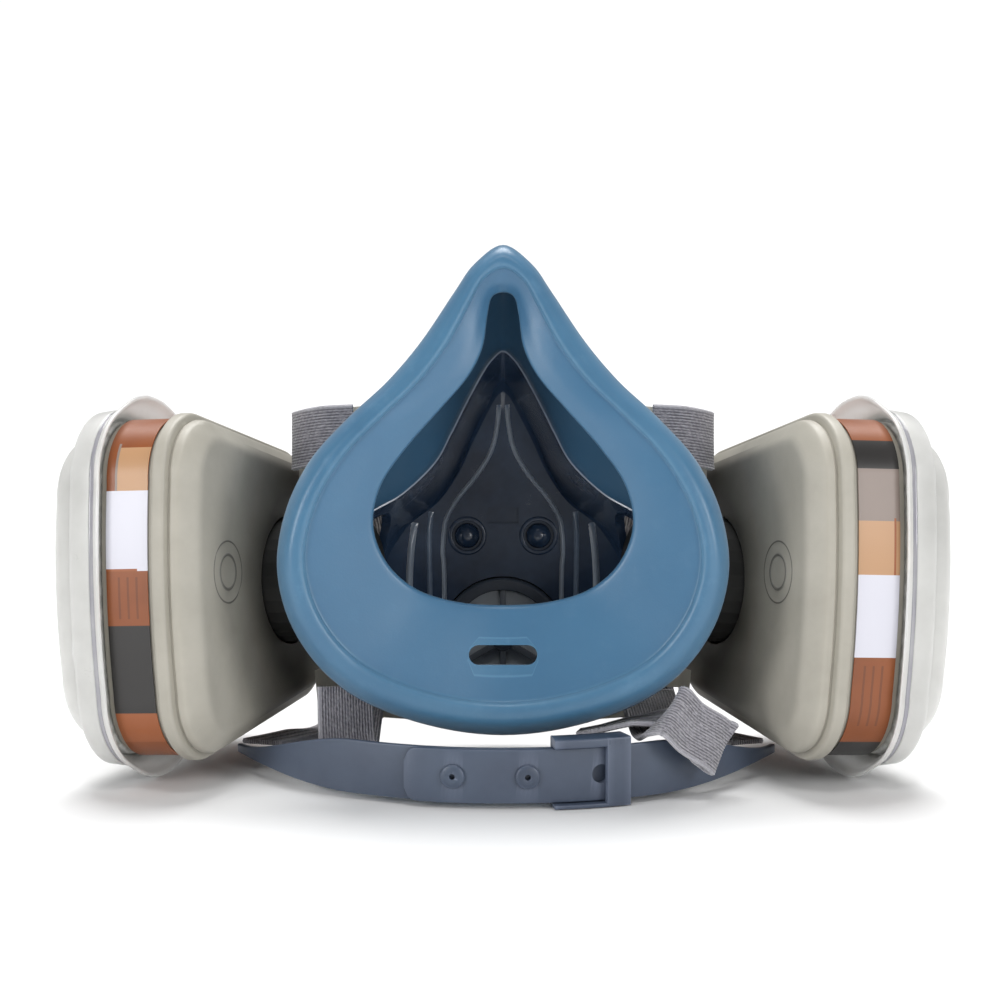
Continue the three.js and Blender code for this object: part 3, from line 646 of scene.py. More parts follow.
finishes = {name: mouldedPlastic(name) for name in plastics}
silicone = sealSilicone()
webbing = knittedWebbing()
felt = filterFelt()
charcoal = charcoalGranules()
labels = {side: printedLabel(side) for side in sides}
print("finishes made:", len(bpy.data.materials))


# Face seal and inner shell: stations down the right half, nose first. Each gives the rim, the lip
# of the opening and the edge where silicone meets shell, then where the soft crease lies.

seal = {
    "thickness": 2.8,
    "stationSteps": 7,
    "sectionSteps": 3,
    "slotHalf": 6.4,  # the chin slot's straight half and its end radius
    "slotRadius": 2.6,
    "slotHeight": 35.4,
    "slotPlace": 12,  # how far round the section the slot lies
    "stations": [
        # rim x y z, lip x z, edge x y z, crease
        (0, 5, 143, 0, 130.5, 0, 30, 115, 0.5),
        (7.6, 4, 138, 2.9, 129.3, 3.2, 30, 112.5, 0.5),
        (13, 3, 130.4, 4.1, 124.5, 5.6, 29.5, 109, 0.48),
        (21.6, 1, 117.6, 5.4, 116, 8.4, 29, 104, 0.44),
        (30.4, -1, 107.2, 9.2, 108.4, 11, 28, 99, 0.42),
        (40.5, -3, 97.8, 16.4, 100, 14, 27, 93, 0.4),
        (50.6, -4, 86.4, 25.2, 90, 18.5, 24, 85, 0.36),
        (57.2, -5, 72.4, 32, 80, 27, 19, 77, 0.33),
        (59.2, -5, 56.6, 34, 69.4, 39, 13, 69, 0.3),
        (54.2, -4, 40.4, 30.4, 59.6, 43.5, 11, 53, 0.28),
        (42.2, -2, 26.6, 22.6, 52.6, 37, 15, 36, 0.27),
        (22.2, -1, 17.4, 11.6, 49.2, 20, 21, 27.5, 0.27),
        (0, 0, 14, 0, 48.4, 0, 23, 25.5, 0.27),
    ],
}


def wholeLoop(half, steps):
    def flipped(values):
        return tuple(-v if k in (0, 3, 5) else v for k, v in enumerate(values))
    others = [flipped(values) for values in reversed(half[1:-1])]
    return smoothLoop(half + others, steps)


def outwardOf(loop, k):
    before, after = loop[k - 1], loop[(k + 1) % len(loop)]
    return Vector((before.z - after.z, 0, after.x - before.x)).normalized()


def sealCurves(steps):
    loop = wholeLoop(seal["stations"], steps)
    rim = [Vector(v[:3]) for v in loop]
    lip = [Vector((v[3], v[1], v[4])) for v in loop]
    edge = [Vector(v[5:8]) for v in loop]
    return rim, lip, edge, [v[8] for v in loop]


def sealRing(curves, k):
    rim, lip, edge, creases = curves
    crease = creases[k]
    thick = seal["thickness"]
    rimOut, edgeOut = outwardOf(rim, k), outwardOf(edge, k)

    def across(share, depth):
        return rim[k].lerp(lip[k], share) + Vector((0, depth, 0))

    def wall(share, distance):
        normal = edgeOut.lerp(rimOut, share).normalized()
        return edge[k].lerp(rim[k], share) + normal * distance

    def atRim(distance, depth):
        return rim[k] + rimOut * distance + Vector((0, depth, 0))

    inner = 1 - crease
    points = [
        wall(0, thick), wall(0.3, thick + 1.1), wall(0.65, thick + 1.3), atRim(-0.5, 4.4), atRim(0, 0.6),
        across(0.05, -3.2), across(crease * 0.42, -5.7), across(crease * 0.78, -6.15),
        across(crease * 0.93, -5.5), across(crease, -4.6), across(crease + inner * 0.1, -4.35),
        across(crease + inner * 0.55, -3.2), across(0.93, -1.7), across(0.985, -1.1), across(1, -0.2),
        across(0.99, 0.7), across(0.95, 1.0), across(crease + inner * 0.5, -1.2), across(crease, -2.6),
        across(crease * 0.75, -3.2), atRim(-3.4, -0.4), atRim(-3.2, 4.2),
        wall(0.65, -1.1), wall(0.3, -0.5), wall(0, 0),
    ]
    return smoothLoop(points, seal["sectionSteps"])


def chinSlot():
    half, radius, height = seal["slotHalf"], seal["slotRadius"], seal["slotHeight"]
    outline = []
    for centre, start in ((half, -90), (-half, 90)):
        for step in range(13):
            turn = math.radians(start + step * 15)
            outline.append((centre + radius * math.cos(turn), height + radius * math.sin(turn)))
    rings = [[(x, y, z) for x, z in outline] for y in (-12, 4)]
    flapPlace = [[(seal["slotPlace"], 0, 0)] * len(outline)] * 2
    return Form().loft(rings, places=flapPlace)


def faceSeal():
    curves = sealCurves(seal["stationSteps"])
    rings = [sealRing(curves, k) for k in range(len(curves[0]))]
    steps = seal["sectionSteps"]
    around = [[(k / steps, 0, 0) for k in range(len(rings[0]))]] * len(rings)
    form = Form().loft(rings, closed=True, places=around)
    build(
        "face_seal_skin", form, mask, "facepiece", [silicone],
        stands=["face_seal"], sharp=60, holes=[chinSlot()],
    )


shell = {
    "thickness": 2.2,
    "floor": 54,  # depth of the front panel
    "middle": 60,  # height its rings draw in to
    "panel": [
        (0, 104), (1.8, 103), (3.4, 100.5), (5.2, 97), (7, 93.5), (9.2, 89), (12.4, 82), (18, 74),
        (27, 66.5), (33, 54), (29, 39), (16, 27), (0, 22),
    ],
    "valveHeight": 36,
    "valveHole": 17.4,
    "slot": (4.2, 2.2, 70),  # half width, half height, height up the mask
    "slotFloor": 55.4,
    "slotPlace": 90,  # marks the slot's faces for the finish, which paints them black as painted shade
    "studSpacing": 19.4,
    "studHeight": 64.4,
    "studRecess": (4.6, 0.9),  # radius and depth
    "portHole": 17.2,
    "cut": (50, 60),  # depths the holes are cut between
    # moulded ridges on the wearer's side: half width, rise and the line in x, z
    "ridges": [
        (0.75, 0.9, [
            (1.1, 100), (1.5, 94.8), (3, 88), (6.3, 82), (12.6, 74), (15.4, 69), (16, 65.6), (16.3, 60),
            (16, 56), (16, 30),
        ]),
        (0.9, 0.7, [(19.6, 71), (20, 66), (20, 60), (19.8, 46), (19.4, 34)]),
        (1.1, 0.8, [(24, 68), (25, 60), (25.4, 50), (24.6, 38)]),
    ],
}


def panelLoop(steps):
    half = [(x, 0, z, 0, 0, 0, 0, 0, 0) for x, z in shell["panel"]]
    return [Vector((v[0], shell["floor"], v[2])) for v in wholeLoop(half, steps)]


def shellRings(steps):
    _, _, edge, _ = sealCurves(steps)
    panel = panelLoop(steps)
    thick = shell["thickness"]
    lap = seal["thickness"]
    count = len(panel)

    def mixed(share, distance, depth=0):
        ring = []
        for k in range(count):
            normal = outwardOf(edge, k).lerp(outwardOf(panel, k), share).normalized()
            ring.append(edge[k].lerp(panel[k], share) + normal * distance + Vector((0, depth, 0)))
        return ring

    middle = Vector((0, shell["floor"], shell["middle"]))

    def drawnIn(share, depth):
        return [point.lerp(middle, share) + Vector((0, depth, 0)) for point in mixed(1, -0.6)]

    inside = [drawnIn(0.7, 0), drawnIn(0.12, 0), mixed(1, -0.6), mixed(0.97, -0.1)]
    inside += [mixed(0.85, 0.5), mixed(0.5, 0.8), mixed(0.2, 0.4), mixed(0, -0.4, 0.3)]
    lip = [mixed(0, lap, 0.3), mixed(0, lap, 2.7)]
    outside = [mixed(0.2, thick + 0.6), mixed(0.5, thick + 0.8), mixed(0.85, thick + 0.5)]
    outside += [mixed(0.97, thick), mixed(1, -0.6, thick), drawnIn(0.12, thick), drawnIn(0.7, thick)]
    return inside + lip + outside


def ridge(halfWidth, rise, line):
    # a low crest whose foot is sunk in the panel
    floor = shell["floor"]
    path = smoothLine([(x, 0, z) for x, z in line], 6)
    crest = [(-1, 0.3), (-0.7, -0.25), (-0.25, -0.9), (0.1, -1), (0.45, -0.8), (1, 0.3)]
    rings = []
    for k, point in enumerate(path):
        tangent = (path[min(k + 1, len(path) - 1)] - path[max(k - 1, 0)]).normalized()
        aside = Vector((tangent.z, 0, -tangent.x))
        fade = smoothStep(k, 0, 5) * smoothStep(len(path) - 1 - k, -1, 4)
        rings.append([
            point + aside * (a * halfWidth) + Vector((0, floor + b * rise * fade, 0)) for a, b in crest
        ])
    return Form().loft(rings)


def innerShell():
    halfWidth, halfHeight, height = shell["slot"]
    near, far = shell["cut"]
    recessRadius, recessDepth = shell["studRecess"]
    slotLow = (-halfWidth, near, height - halfHeight)
    slotHigh = (halfWidth, shell["slotFloor"], height + halfHeight)
    holes = [
        rod(shell["valveHole"], near, far, centre=(0, 0, shell["valveHeight"]), segments=64),
        block(slotLow, slotHigh, (shell["slotPlace"], 0, 0)),
    ]
    for side in (-1, 1):
        centre = (side * shell["studSpacing"] / 2, 0, shell["studHeight"])
        holes.append(rod(recessRadius, near, shell["floor"] + recessDepth, centre=centre))
        matrix = port if side > 0 else mirror @ port
        hole = rod(shell["portHole"], -40, 2, axis="X", segments=56)
        holes.append(Form().add(hole, mask.inverted() @ matrix))
    rings = shellRings(6)
    places = [[(k, 0, 0)] * len(ring) for k, ring in enumerate(rings)]
    form = Form().loft(rings, places=places)
    build(
        "inner_shell_body", form, mask, "facepiece", [finishes["shellPlastic"]],
        stands=["inner_shell"], sharp=42, holes=holes,
    )
    ridges = Form()
    for halfWidth, rise, line in shell["ridges"]:
        for side in (-1, 1):
            ridges.add(ridge(halfWidth, rise, [(side * x, z) for x, z in line]))
    build("inner_shell_ridges", ridges, mask, "facepiece", [finishes["paintedHighlightRidgePlastic"]], sharp=50)


def shellStuds():
    floor = shell["floor"]
    head = softened([
        (0, floor - 2.4, 0), (1.5, floor - 2.3, 0.6), (3.0, floor - 1.3, 0.9), (3.5, floor + 0.2, 0.4),
        (2.2, floor + 0.5, 0.2), (2.2, floor + 1.5, 0), (0, floor + 1.5, 0),
    ])
    collar = softened([
        (4.0, floor + 0.4, 0.2), (4.1, floor - 0.35, 0.2),
        (5.1, floor - 0.35, 0.3), (5.4, floor + 0.3, 0.2),
    ], closed=True)
    for name, side in sides.items():
        form = Form().lathe(head, 40, closed=False)
        form.lathe(collar, 40)
        matrix = mask @ Matrix.Translation((shell["studSpacing"] / 2, 0, shell["studHeight"]))
        build(
            name + "_stud_head", form, matrix, "facepiece", [finishes["shellPlastic"]],
            stands=[name + "_shell_stud"], side=side,
        )


valve = {"ring": 17.0, "bore": 13.6, "spokes": (30, 90, 150), "spokeReach": 14, "spoke": (1.7, 1.6)}


def valveSeat():
    floor, bore, outer = shell["floor"], valve["bore"], valve["ring"]
    ring = softened([
        (bore, floor - 0.5, 0.3), (outer - 0.8, floor - 0.5, 0.4), (outer, floor + 0.2, 0.3),
        (outer, floor + 2.8, 0.2), (bore, floor + 2.8, 0.2),
    ], closed=True)
    form = Form().lathe(ring, 72)
    hub = softened([(0, floor, 0), (3, floor, 0.5), (3, floor + 2.3, 0.2), (0, floor + 2.3, 0)])
    form.lathe(hub, 32, closed=False)
    for angle in valve["spokes"]:
        turn = Matrix.Rotation(math.radians(angle), 4, "Y")
        reach = Vector((valve["spokeReach"], 0, 0))
        bar = roundedBar(-reach, reach, Vector((0, 1, 0)), *valve["spoke"])
        form.add(bar, Matrix.Translation((0, floor + 1.2, 0)) @ turn)
    matrix = mask @ Matrix.Translation((0, 0, shell["valveHeight"]))
    build(
        "exhalation_valve_spider", form, matrix, "facepiece", [finishes["valvePlastic"]],
        stands=["exhalation_valve_seat"],
    )


def roundedBox(left, right, low, high, radius, steps=3):
    corners = [(left, low, radius), (right, low, radius), (right, high, radius), (left, high, radius)]
    return softened(corners, steps, True)


def roundedBar(start, end, normal, width, height):
    along = (end - start).normalized()
    aside = along.cross(normal).normalized()
    half, rise = width / 2, height / 2
    section = roundedBox(-half, half, -rise, rise, 0.3, 2)
    rings = [[at + aside * a + normal * b for a, b in section] for at in (start, end)]
    return Form().loft(rings)


faceSeal()
innerShell()
shellStuds()
valveSeat()
print("mask made")


# Cartridges and filter clips, in the port's frame: X outward, Y forward, Z up

cartridge = {
    "near": (-40, 28, 16),  # corner circle at the wearer's end: y, z, radius
    "far": (13, 20, 13),
    "bulge": 2,
    "cornerSteps": 14,
    "sideSteps": 18,
    "mouth": 17.3,
    "lugRoom": 19.9,
    "mark": (-37.3, 3.6),  # moulded round mark on the flat face
}


def outline(x, grow, shorter=0, tab=0):
    nearY, nearZ, nearRadius = cartridge["near"]
    farY, farZ, farRadius = cartridge["far"]
    run, rise = farY - nearY, nearZ - farZ
    lean = math.asin((nearRadius - farRadius) / math.hypot(run, rise))
    upper = math.pi / 2 - math.atan2(rise, run) - lean
    half = []

    def corner(y, z, radius, start, stop):
        for step in range(cartridge["cornerSteps"] + 1):
            turn = start + (stop - start) * step / cartridge["cornerSteps"]
            across, rise = (radius + grow) * math.cos(turn), (radius + grow) * math.sin(turn)
            half.append((y + across, z - shorter + rise))

    corner(farY, farZ, farRadius, 0, upper)
    start = half[-1]
    after = []
    corner(nearY, nearZ, nearRadius, upper, math.pi)
    stop = half[cartridge["cornerSteps"] + 1]
    for step in range(1, cartridge["sideSteps"]):
        after.append(between(start, stop, step / cartridge["sideSteps"]))
    half[cartridge["cornerSteps"] + 1:cartridge["cornerSteps"] + 1] = after
    nearEnd = nearY - nearRadius - grow
    for step in range(1, cartridge["sideSteps"] // 2 + 1):
        share = 1 - step / (cartridge["sideSteps"] // 2)
        half.append((nearEnd - cartridge["bulge"] * (1 - share * share), share * (nearZ - shorter)))
    half = [(y, z + tab * tabRise(y)) for y, z in half]
    others = [(y, -z) for y, z in reversed(half[:-1])]
    return [Vector((x, y, z)) for y, z in half + others]


tabs = {"middle": -26, "halfWidth": 21, "rise": 4.2}


def tabRise(y):
    away = abs(y - tabs["middle"]) / tabs["halfWidth"]
    return tabs["rise"] * (1 - smoothStep(away, 0.1, 1))


def outlineRings(levels, steps=3, closed=False):
    return [outline(*level) for level in softened(levels, steps, closed)]


def faceRing(x, radius, like):
    # a round ring whose points lie in line with the outline's
    ring = []
    for point in like:
        turn = math.atan2(point.z, point.y)
        ring.append(Vector((x, radius * math.cos(turn), radius * math.sin(turn))))
    return ring


def cartridgeBody(name, side):
    walls = outlineRings([
        (0, -9, 0), (0, -5.2, 1.6), (3.6, -0.7, 1.4), (4.6, 0, 0.8), (6.6, 0.1, 0.4), (6.9, -0.5, 0.2),
        (7.4, -0.5, 0.2), (7.7, 1.5, 0.5), (8.3, 2.0, 0.5), (11.2, 2.0, 0.6), (11.7, 0.2, 0.3),
        (12.4, 0, 0.3), (26.8, 0, 0.3), (27, -1.7, 0.3), (5.8, -1.9, 1), (2.2, -7, 0.8), (2.2, -9, 0),
    ])
    like = outline(0, 0)
    mouth, lugRoom = cartridge["mouth"], cartridge["lugRoom"]
    bore = softened([
        (2.2, 22, 0), (8, 22, 0.3), (8, 14, 0.3), (6, 14, 0.3), (6, lugRoom, 0.3),
        (2, lugRoom, 0.3), (2, mouth, 0.3), (0, mouth, 0.3), (0, 19, 0),
    ])
    rings = walls + [faceRing(x, radius, like) for x, radius in bore]
    form = Form().loft(rings, closed=True)
    y, z = cartridge["mark"]
    for radius, width, rise in ((8.2, 0.35, 0.18), (4.6, 0.55, 0.35)):
        crest = softened([
            (radius - width, 0.05, 0), (radius, -rise, width), (radius + width, 0.05, 0),
        ])
        form.add(Form().lathe(crest + [(radius, 0.1)], 48, "X"), Matrix.Translation((0, y, z)))
    build(
        name + "_cartridge_case", form, port, name + "_cartridge",
        [finishes["cartridgePlastic"]], stands=[name + "_cartridge_body"], side=side, sharp=44,
    )


def cartridgeLabel(name, side):
    levels = [(12.9, 0.3, 0.1), (12.9, 0.62, 0.1), (25.2, 0.62, 0.1), (25.2, 0.3, 0.1)]
    rings = outlineRings(levels, 1, True)
    form = Form().loft(rings, closed=True)
    build(
        name + "_cartridge_wrap", form, port, name + "_cartridge", [labels[name]],
        stands=[name + "_cartridge_label"], side=side,
    )


clip = {
    "window": -8,  # how far in from the outline the grille's opening lies
    "short": 4,
    "bar": (2, 2.6),  # width and depth
    "barX": 39.4,
    "uprights": (-41, -25.5, -10, 5.5),
    "rails": (-14, 14),
    "railEnds": (-50.5, 18.5),
}


def filterClip(name, side):
    short, window = clip["short"], clip["window"]
    levels = [
        (25.7, 3.5, 0, 1, 0.2), (25.4, 4.4, 0, 1, 0.3), (26.2, 4.6, 0, 1, 0.4), (27.2, 3.9, 0, 0.75, 0.6),
        (28.0, 3.2, 0, 0.25, 0.5), (28.9, 3.15, 0, 0, 0.2), (29.1, 3.45, 0, 0, 0.2), (34.6, 2.8, 0, 0, 0.7),
        (35.4, 2.0, 0.5, 0, 0.5), (35.7, 0.9, 3.6, 0, 0.4), (36.4, 0.8, 4, 0, 0.4),
        (40.2, -0.1, 4.8, 0, 1.2), (41.9, -2.2, 5, 0, 0.9), (42, -4, 5, 0, 0.3),
        (41.7, window, short, 0, 0.4), (36, window, short, 0, 0.3),
        (35.2, -6, 3, 0, 0.3), (35.2, 0.9, 0, 0, 0.5), (28.4, 1.0, 0, 0, 0.8), (26.9, 2.8, 0, 0.8, 0.5),
    ]
    levels = softened(levels, 3, True)
    rings = [outline(*level) for level in levels]

    def material(ring):
        x, grow = levels[ring][:2]
        return 1 if 27.3 < x < 28.9 and 3 < grow < 4 else 0

    form = Form().loft(rings, closed=True, finish=material)
    bars = []
    for y in clip["uprights"]:
        reach = max(p.z for p in outline(0, window + 1, short) if abs(p.y - y) < 3.5)
        bars.append(((y, -reach), (y, reach)))
    for z in clip["rails"]:
        bars.append([(y, z) for y in clip["railEnds"]])
    for ends in bars:
        start, end = [Vector((clip["barX"], y, z)) for y, z in ends]
        form.add(roundedBar(start, end, Vector((1, 0, 0)), *clip["bar"]))
    build(
        name + "_filter_clip", form, port, name + "_retainer",
        [finishes["clipPlastic"], finishes["clearPlastic"]],
        stands=[name + "_filter_retainer"], side=side, sharp=50,
    )


def filterPad(name, side):
    levels = [
        (27.6, -1.2, 0), (28.2, 0.2, 0.6), (33.4, 0.2, 0.8), (34.2, -1.4, 0.6), (34.4, -6, 0),
        (34.4, -12, 0),
    ]
    form = Form().loft(outlineRings(levels))
    piece = build(
        name + "_filter_felt", form, port, name + "_retainer", [felt],
        stands=[name + "_filter_pad"], side=side, sharp=60,
    )


for sideName, sideSign in sides.items():
    cartridgeBody(sideName, sideSign)
    cartridgeLabel(sideName, sideSign)
    filterClip(sideName, sideSign)
    filterPad(sideName, sideSign)
print("cartridges made")


# Webbing: stops along each strap and the way its width runs there

straps = {
    "thickness": 1.5,
    "upperWidth": 17,
    "lowerWidth": 15.6,
    "stepsEach": 7,
    "ribs": 18,
    "upper": [
        ((37, 33, 88), (0, 0, 1)), ((44.5, 35, 88), (0, 0, 1)), ((48.5, 42, 88), (0, 0, 1)),
        ((48.5, 48.5, 88), (0, 0, 1)), ((48.5, 54.5, 88), (0, 0, 1)), ((44, 63, 84), (-0.4, 0, 1)),
        ((37.5, 68, 68), (-1, 0, 0.5)), ((36, 69, 44), (-1, 0, 0)), ((37, 68, 25), (-1, 0.2, 0)),
        ((43, 63.5, 13.2), (-1, -0.4, 0.2)), ((54, 53, 10.6), (-0.7, -0.8, 0)),
        ((65, 43, 9), (-0.6, -0.8, 0)),
    ],
    "leftLower": [
        ((-39, 61, 21.5), (1, 0, 0)), ((-39, 54, 21.5), (1, 0, 0)), ((-40, 44, 18), (1, 0, 0)),
        ((-41, 32, 10), (1, 0, 0)), ((-41, 21, 7), (1, 0, 0)), ((-41.5, 15.5, 12), (1, 0.3, 0)),
        ((-42, 15, 26), (1, 0.4, 0)),
    ],
    "loopWidth": 16,
    "armLoop": [
        ((40, 30.8, 92.6), (0, 0, 1)), ((47.4, 32.8, 92.2), (0, 0, 1)), ((53.4, 37, 91.2), (0, 0.1, 1)),
        ((56.2, 42.4, 90.4), (0, 0.15, 1)), ((55.6, 48.2, 90.4), (0, 0.1, 1)), ((52, 55, 90.6), (0, 0, 1)),
        ((47.2, 61.8, 88), (-0.2, 0, 1)),
    ],
    "loopAcross": (0.38, 0.4, 0.83),
}
straps["rightLower"] = [
    ((39, 61, 21.5), (1, 0, 0)), ((39, 54, 21.5), (1, 0, 0)), ((40, 38, 18.5), (1, 0, 0)),
    ((41, 20, 15.5), (1, 0, 0)), ((42, 4.5, 16), (0.9, 0.2, 0.4)), ((42.8, -4.2, 19.8), (0.6, 0.45, 0.7)),
    ((44.8, -7.4, 20.8), straps["loopAcross"]), ((49.5, -5.6, 16.3), straps["loopAcross"]),
    ((55.5, -3, 12.5), straps["loopAcross"]), ((57.6, 0, 10.6), straps["loopAcross"]),
    ((54.5, 2.4, 12.4), straps["loopAcross"]), ((46, 4, 18), (0.2, 0.95, 0.3)),
    ((36, 6.5, 17.6), (0, 1, 0.02)), ((25, 9, 15), (0, 1, -0.02)), ((20, 9.6, 14), (0, 1, -0.02)),
]


def webbingSection(width):
    # ribs across both faces, and a fuller selvedge at each edge
    count = straps["ribs"] * 2
    top = []
    for k in range(count + 1):
        across = (k / count - 0.5) * width
        fromEdge = width / 2 - abs(across)
        edge = math.sqrt(max(0.0, 1 - (1 - min(1.0, fromEdge / 0.7)) ** 2))
        rib = 0.06 * (1 if k % 2 else -1)
        bead = 0.1 * (1 - smoothStep(fromEdge, 0.6, 1.5))
        top.append((across, (straps["thickness"] / 2 - 0.12 + rib + bead) * edge))
    return top + [(across, -height) for across, height in reversed(top[1:-1])]


def strapForm(stops, width):
    line = smoothLine([at for at, _ in stops], straps["stepsEach"])
    section = webbingSection(width)
    rings, places = [], []
    run = 0.0
    for k, point in enumerate(line):
        stop = min(k // straps["stepsEach"], len(stops) - 2)
        share = k / straps["stepsEach"] - stop
        across = Vector(stops[stop][1]).normalized().lerp(Vector(stops[stop + 1][1]).normalized(), share)
        tangent = (line[min(k + 1, len(line) - 1)] - line[max(k - 1, 0)]).normalized()
        normal = tangent.cross(across).normalized()
        aside = normal.cross(tangent).normalized()
        run += (point - line[max(k - 1, 0)]).length
        rings.append([point + aside * a + normal * b for a, b in section])
        places.append([(run, a, b) for a, b in section])
    return Form().loft(rings, places=places)


def webbingPiece(name, form, stands=(), side=1):
    build(name, form, mask, "facepiece", [webbing], stands, side, sharp=70)


def webbingStraps():
    upper = strapForm(straps["upper"], straps["upperWidth"])
    # the doubled end that folds back round the yoke's arm
    fold = strapForm(straps["armLoop"], straps["loopWidth"])
    for name, side in sides.items():
        webbingPiece(name + "_upper_webbing", upper, [name + "_upper_strap"], side)
    for name, side in sides.items():
        webbingPiece(name + "_arm_webbing", fold, side=side)
    for name in sides:
        lower = strapForm(straps[name + "Lower"], straps["lowerWidth"])
        webbingPiece(name + "_lower_webbing", lower, [name + "_lower_strap"])


webbingStraps()
print("webbing made")


# Crown band: two strips bent round a vertical axis, joined by pegs and a keeper

band = {
    "radius": 78,
    "centre": 66,
    "thickness": 1.6,
    "width": 14.4,
    "lift": 1.3,
    "tip": 66,
    "taperStart": 30,
    "tipHeight": 5.8,
    "tipHalf": 1.2,
    "gap": 0.3,
    "pegPitch": 14.1,
    "firstPeg": -9.5,
    "end": -19,
    "holeRadius": 2.5,
    "roundEnd": 3.4,  # radius of the outer strip's rounded end
    "keeper": (9.5, 24),
    "keeperTop": 18.4,
}


def onBand(radius, angle, z):
    turn = math.radians(angle)
    return Vector((radius * math.sin(turn), band["centre"] - radius * math.cos(turn), z))


def bandSpan(angle):
    taper = smoothStep(abs(angle), band["taperStart"], band["tip"])
    low = band["lift"] + (band["tipHeight"] - band["tipHalf"] - band["lift"]) * taper
    top = band["lift"] + band["width"]
    return low, top + (band["tipHeight"] + band["tipHalf"] - top) * taper


def bandStrip(inner, start, stop, roundEnd=None, steps=64, round=0.45):
    rings = []
    for step in range(steps + 1):
        angle = start + (stop - start) * step / steps
        low, high = bandSpan(angle)
        if roundEnd is not None:
            away = math.radians(abs(angle - roundEnd)) * band["radius"]
            radius = band["roundEnd"]
            squeeze = radius * (1 - math.sqrt(max(0.0, 1 - max(0.0, 1 - away / radius) ** 2)))
            low, high = low + squeeze, high - squeeze
        outer = inner + band["thickness"]
        section = roundedBox(inner, outer, low, high, round)
        rings.append([onBand(radius, angle, z) for radius, z in section])
    return Form().loft(rings)


def arcBar(inner, outer, start, stop, low, high, steps=14, round=0.5):
    section = roundedBox(inner, outer, low, high, round)
    rings = []
    for step in range(steps + 1):
        angle = start + (stop - start) * step / steps
        rings.append([onBand(radius, angle, z) for radius, z in section])
    return Form().loft(rings)


def onPeg(angle):
    # X points out from the band's centre of curvature
    place = Matrix.Translation((0, band["centre"], band["lift"] + band["width"] / 2))
    return place @ Matrix.Rotation(math.radians(angle - 90), 4, "Z")


def pegForm():
    base, outer = band["radius"], band["radius"] + band["gap"] + band["thickness"]
    profile = softened([
        (0, base + 1, 0), (0.75, base + 1, 0), (0.75, outer + 1.2, 0.2), (1.9, outer + 1.25, 0.3),
        (3.1, outer + 0.95, 0.5), (3.3, outer + 0.3, 0.2), (2, outer + 0.2, 0.1), (2, base - 1, 0),
        (0, base - 1, 0),
    ])
    return Form().lathe(profile, 40, "X", closed=False)


def crownBands():
    inner = band["radius"] - band["thickness"]
    start, stop = band["keeper"]
    low, top = 0, band["keeperTop"]
    strapTop = band["lift"] + band["width"]
    front = band["radius"] + band["gap"] + band["thickness"] + 2.4
    back = inner - 1.4
    form = bandStrip(inner, -band["tip"], stop)
    form.add(arcBar(back, inner + 0.3, start, stop, low, top))
    form.add(arcBar(back, front, start, stop, low, band["lift"] - band["gap"], round=0.3))
    form.add(arcBar(back, front, start, stop, strapTop + band["gap"], top, round=0.6))
    form.add(arcBar(front - 1.7, front, stop - 4.6, stop, low, top, 6))
    for k in (0, 1):
        form.add(pegForm(), onPeg(band["firstPeg"] + k * band["pegPitch"]))
    build(
        "left_crown_strip", form, standing, "facepiece", [finishes["bandPlastic"]],
        stands=["left_crown_band"], sharp=50,
    )
    form = bandStrip(band["radius"] + band["gap"], band["end"], band["tip"], roundEnd=band["end"], steps=96)
    hole = rod(band["holeRadius"], band["radius"] - 4, band["radius"] + 8, "X", 32)
    holes = [Form().add(hole, onPeg(band["firstPeg"] + k * band["pegPitch"])) for k in (0, 1, 2)]
    build(
        "right_crown_strip", form, standing, "facepiece", [finishes["bandPlastic"]],
        stands=["right_crown_band"], sharp=50, holes=holes,
    )


crownBands()
print("crown band made")


# Better finishes for the CAD pieces whose shapes are right

carriedOver = {
    "front_yoke": "yokePlastic",
    "exhalation_valve_flap": "flapSilicone",
    "exhalation_valve_cover": "coverPlastic",
}
for sideName in sides:
    carriedOver.update({
        sideName + "_inhalation_valve_flap": "flapSilicone",
        sideName + "_port_gasket": "gasketRubber",
        sideName + "_inlet_grid": "gridPlastic",
    })
for nodeName, finishName in carriedOver.items():
    for materialSlot in nodes[nodeName].material_slots:
        materialSlot.material = finishes[finishName]
for sideName in sides:
    for materialSlot in nodes[sideName + "_charcoal_bed"].material_slots:
        materialSlot.material = charcoal
    for materialSlot in nodes[sideName + "_bayonet_port"].material_slots:
        materialSlot.material = portSleevePaintedShade(sideName)
print("carried-over pieces finished")


# Studio

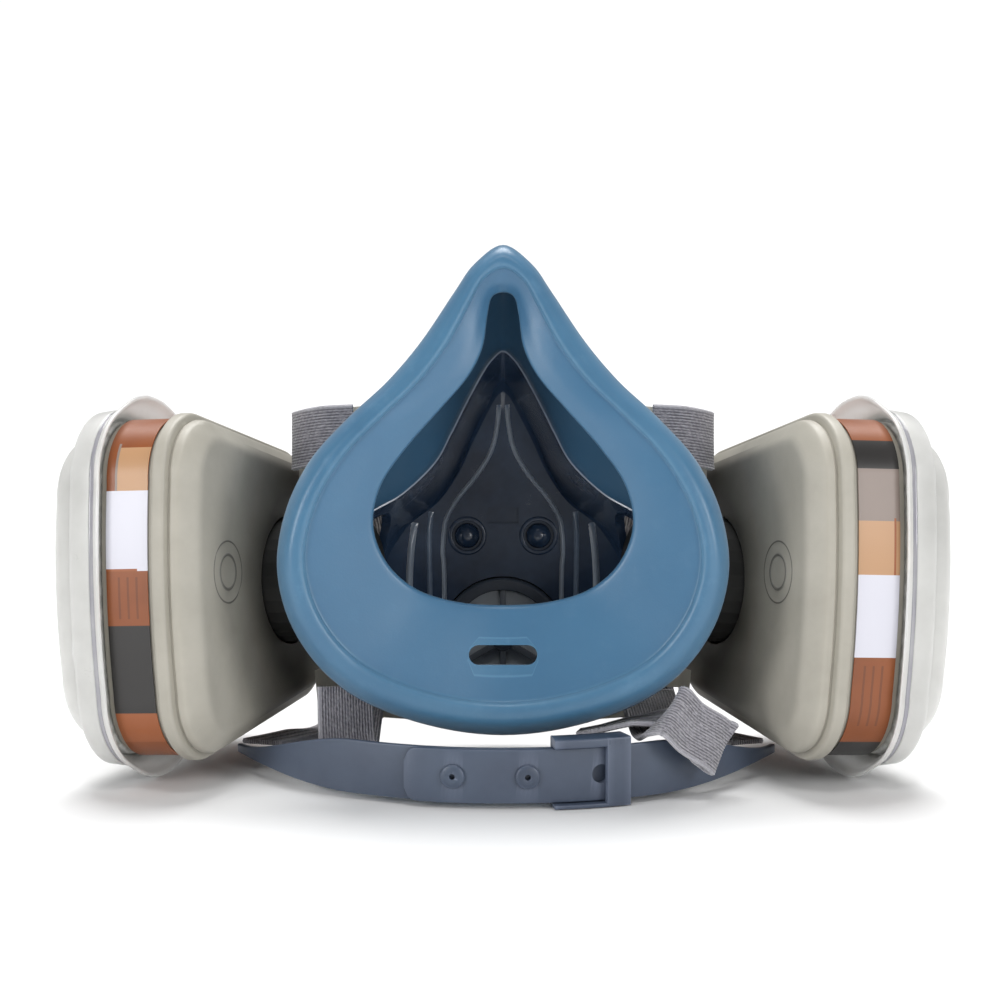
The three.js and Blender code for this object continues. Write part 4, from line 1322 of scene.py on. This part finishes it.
studio = {
    "floor": (238, 238, 238),
    "floorHalf": 6,  # metres
    "world": 0.2,
    "aim": (-0.0008, -0.035, 0.0787),
    "elevation": 10,
    "distance": 1.6,
    "lens": 220,
    # a broad soft light from above and a little behind
    "overhead": {"power": 3.5, "spread": 40, "from": (0.0, 0.5, 1.0)},
    "softBoxes": {
        # name: place, size, power
        "leftSoftBox": ((-1.25, -1.1, 0.6), 0.6, 11),
        "rightSoftBox": ((1.25, -1.1, 0.6), 0.6, 10),
        "highSoftBox": ((0.0, -0.8, 1.7), 0.5, 6),
        "frontSoftBox": ((0.55, -1.7, 0.4), 0.3, 2.5),
    },
    "target": (0, 0, 0.06),
}


def studioFloor():
    half = studio["floorHalf"] * 1000
    spots = [half * (k / 4 - 1) for k in range(9)]
    form = Form().loft([[(x, y, -0.3) for x in spots] for y in spots], around=False)
    floor = bpy.data.objects.new("studio_floor", form.mesh("studio_floor", Matrix(), 60))
    finish = Finish("floorPaper", {"Roughness": 0.85})
    speckle = finish.noise(4, 3)
    colour = finish.blend(speckle * 0.2, paint(*studio["floor"]), paint(*[v - 6 for v in studio["floor"]]))
    floor.data.materials.append(finish.show(colour=colour))
    bpy.context.scene.collection.objects.link(floor)


def addLight(name, kind, at, power):
    light = bpy.data.lights.new(name, kind)
    light.energy = power
    lamp = bpy.data.objects.new(name, light)
    lamp.location = at
    lamp.rotation_euler = (Vector(studio["target"]) - Vector(at)).to_track_quat("-Z", "Y").to_euler()
    bpy.context.scene.collection.objects.link(lamp)
    return light


def studioLights():
    overhead = studio["overhead"]
    light = addLight("overheadLight", "SUN", overhead["from"], overhead["power"])
    light.angle = math.radians(overhead["spread"])
    for name, (at, size, power) in studio["softBoxes"].items():
        light = addLight(name, "AREA", at, power)
        light.size = size
    world = bpy.data.worlds.new("studioWorld")
    world.use_nodes = True
    world.node_tree.nodes["Background"].inputs[0].default_value = (1, 1, 1, 1)
    world.node_tree.nodes["Background"].inputs[1].default_value = studio["world"]
    bpy.context.scene.world = world


def studioCamera():
    camera = bpy.data.objects.new("studioCamera", bpy.data.cameras.new("studioCamera"))
    camera.data.lens = studio["lens"]
    camera.data.sensor_width = 36
    camera.data.clip_start, camera.data.clip_end = 0.05, 20
    tilt = math.radians(studio["elevation"])
    back = Vector((0, -math.cos(tilt), math.sin(tilt)))
    camera.location = Vector(studio["aim"]) + back * studio["distance"]
    camera.rotation_euler = (-back).to_track_quat("-Z", "Y").to_euler()
    bpy.context.scene.collection.objects.link(camera)
    bpy.context.scene.camera = camera


studioFloor()
studioLights()
studioCamera()
bpy.context.scene.view_settings.view_transform = "Standard"
print("studio made")
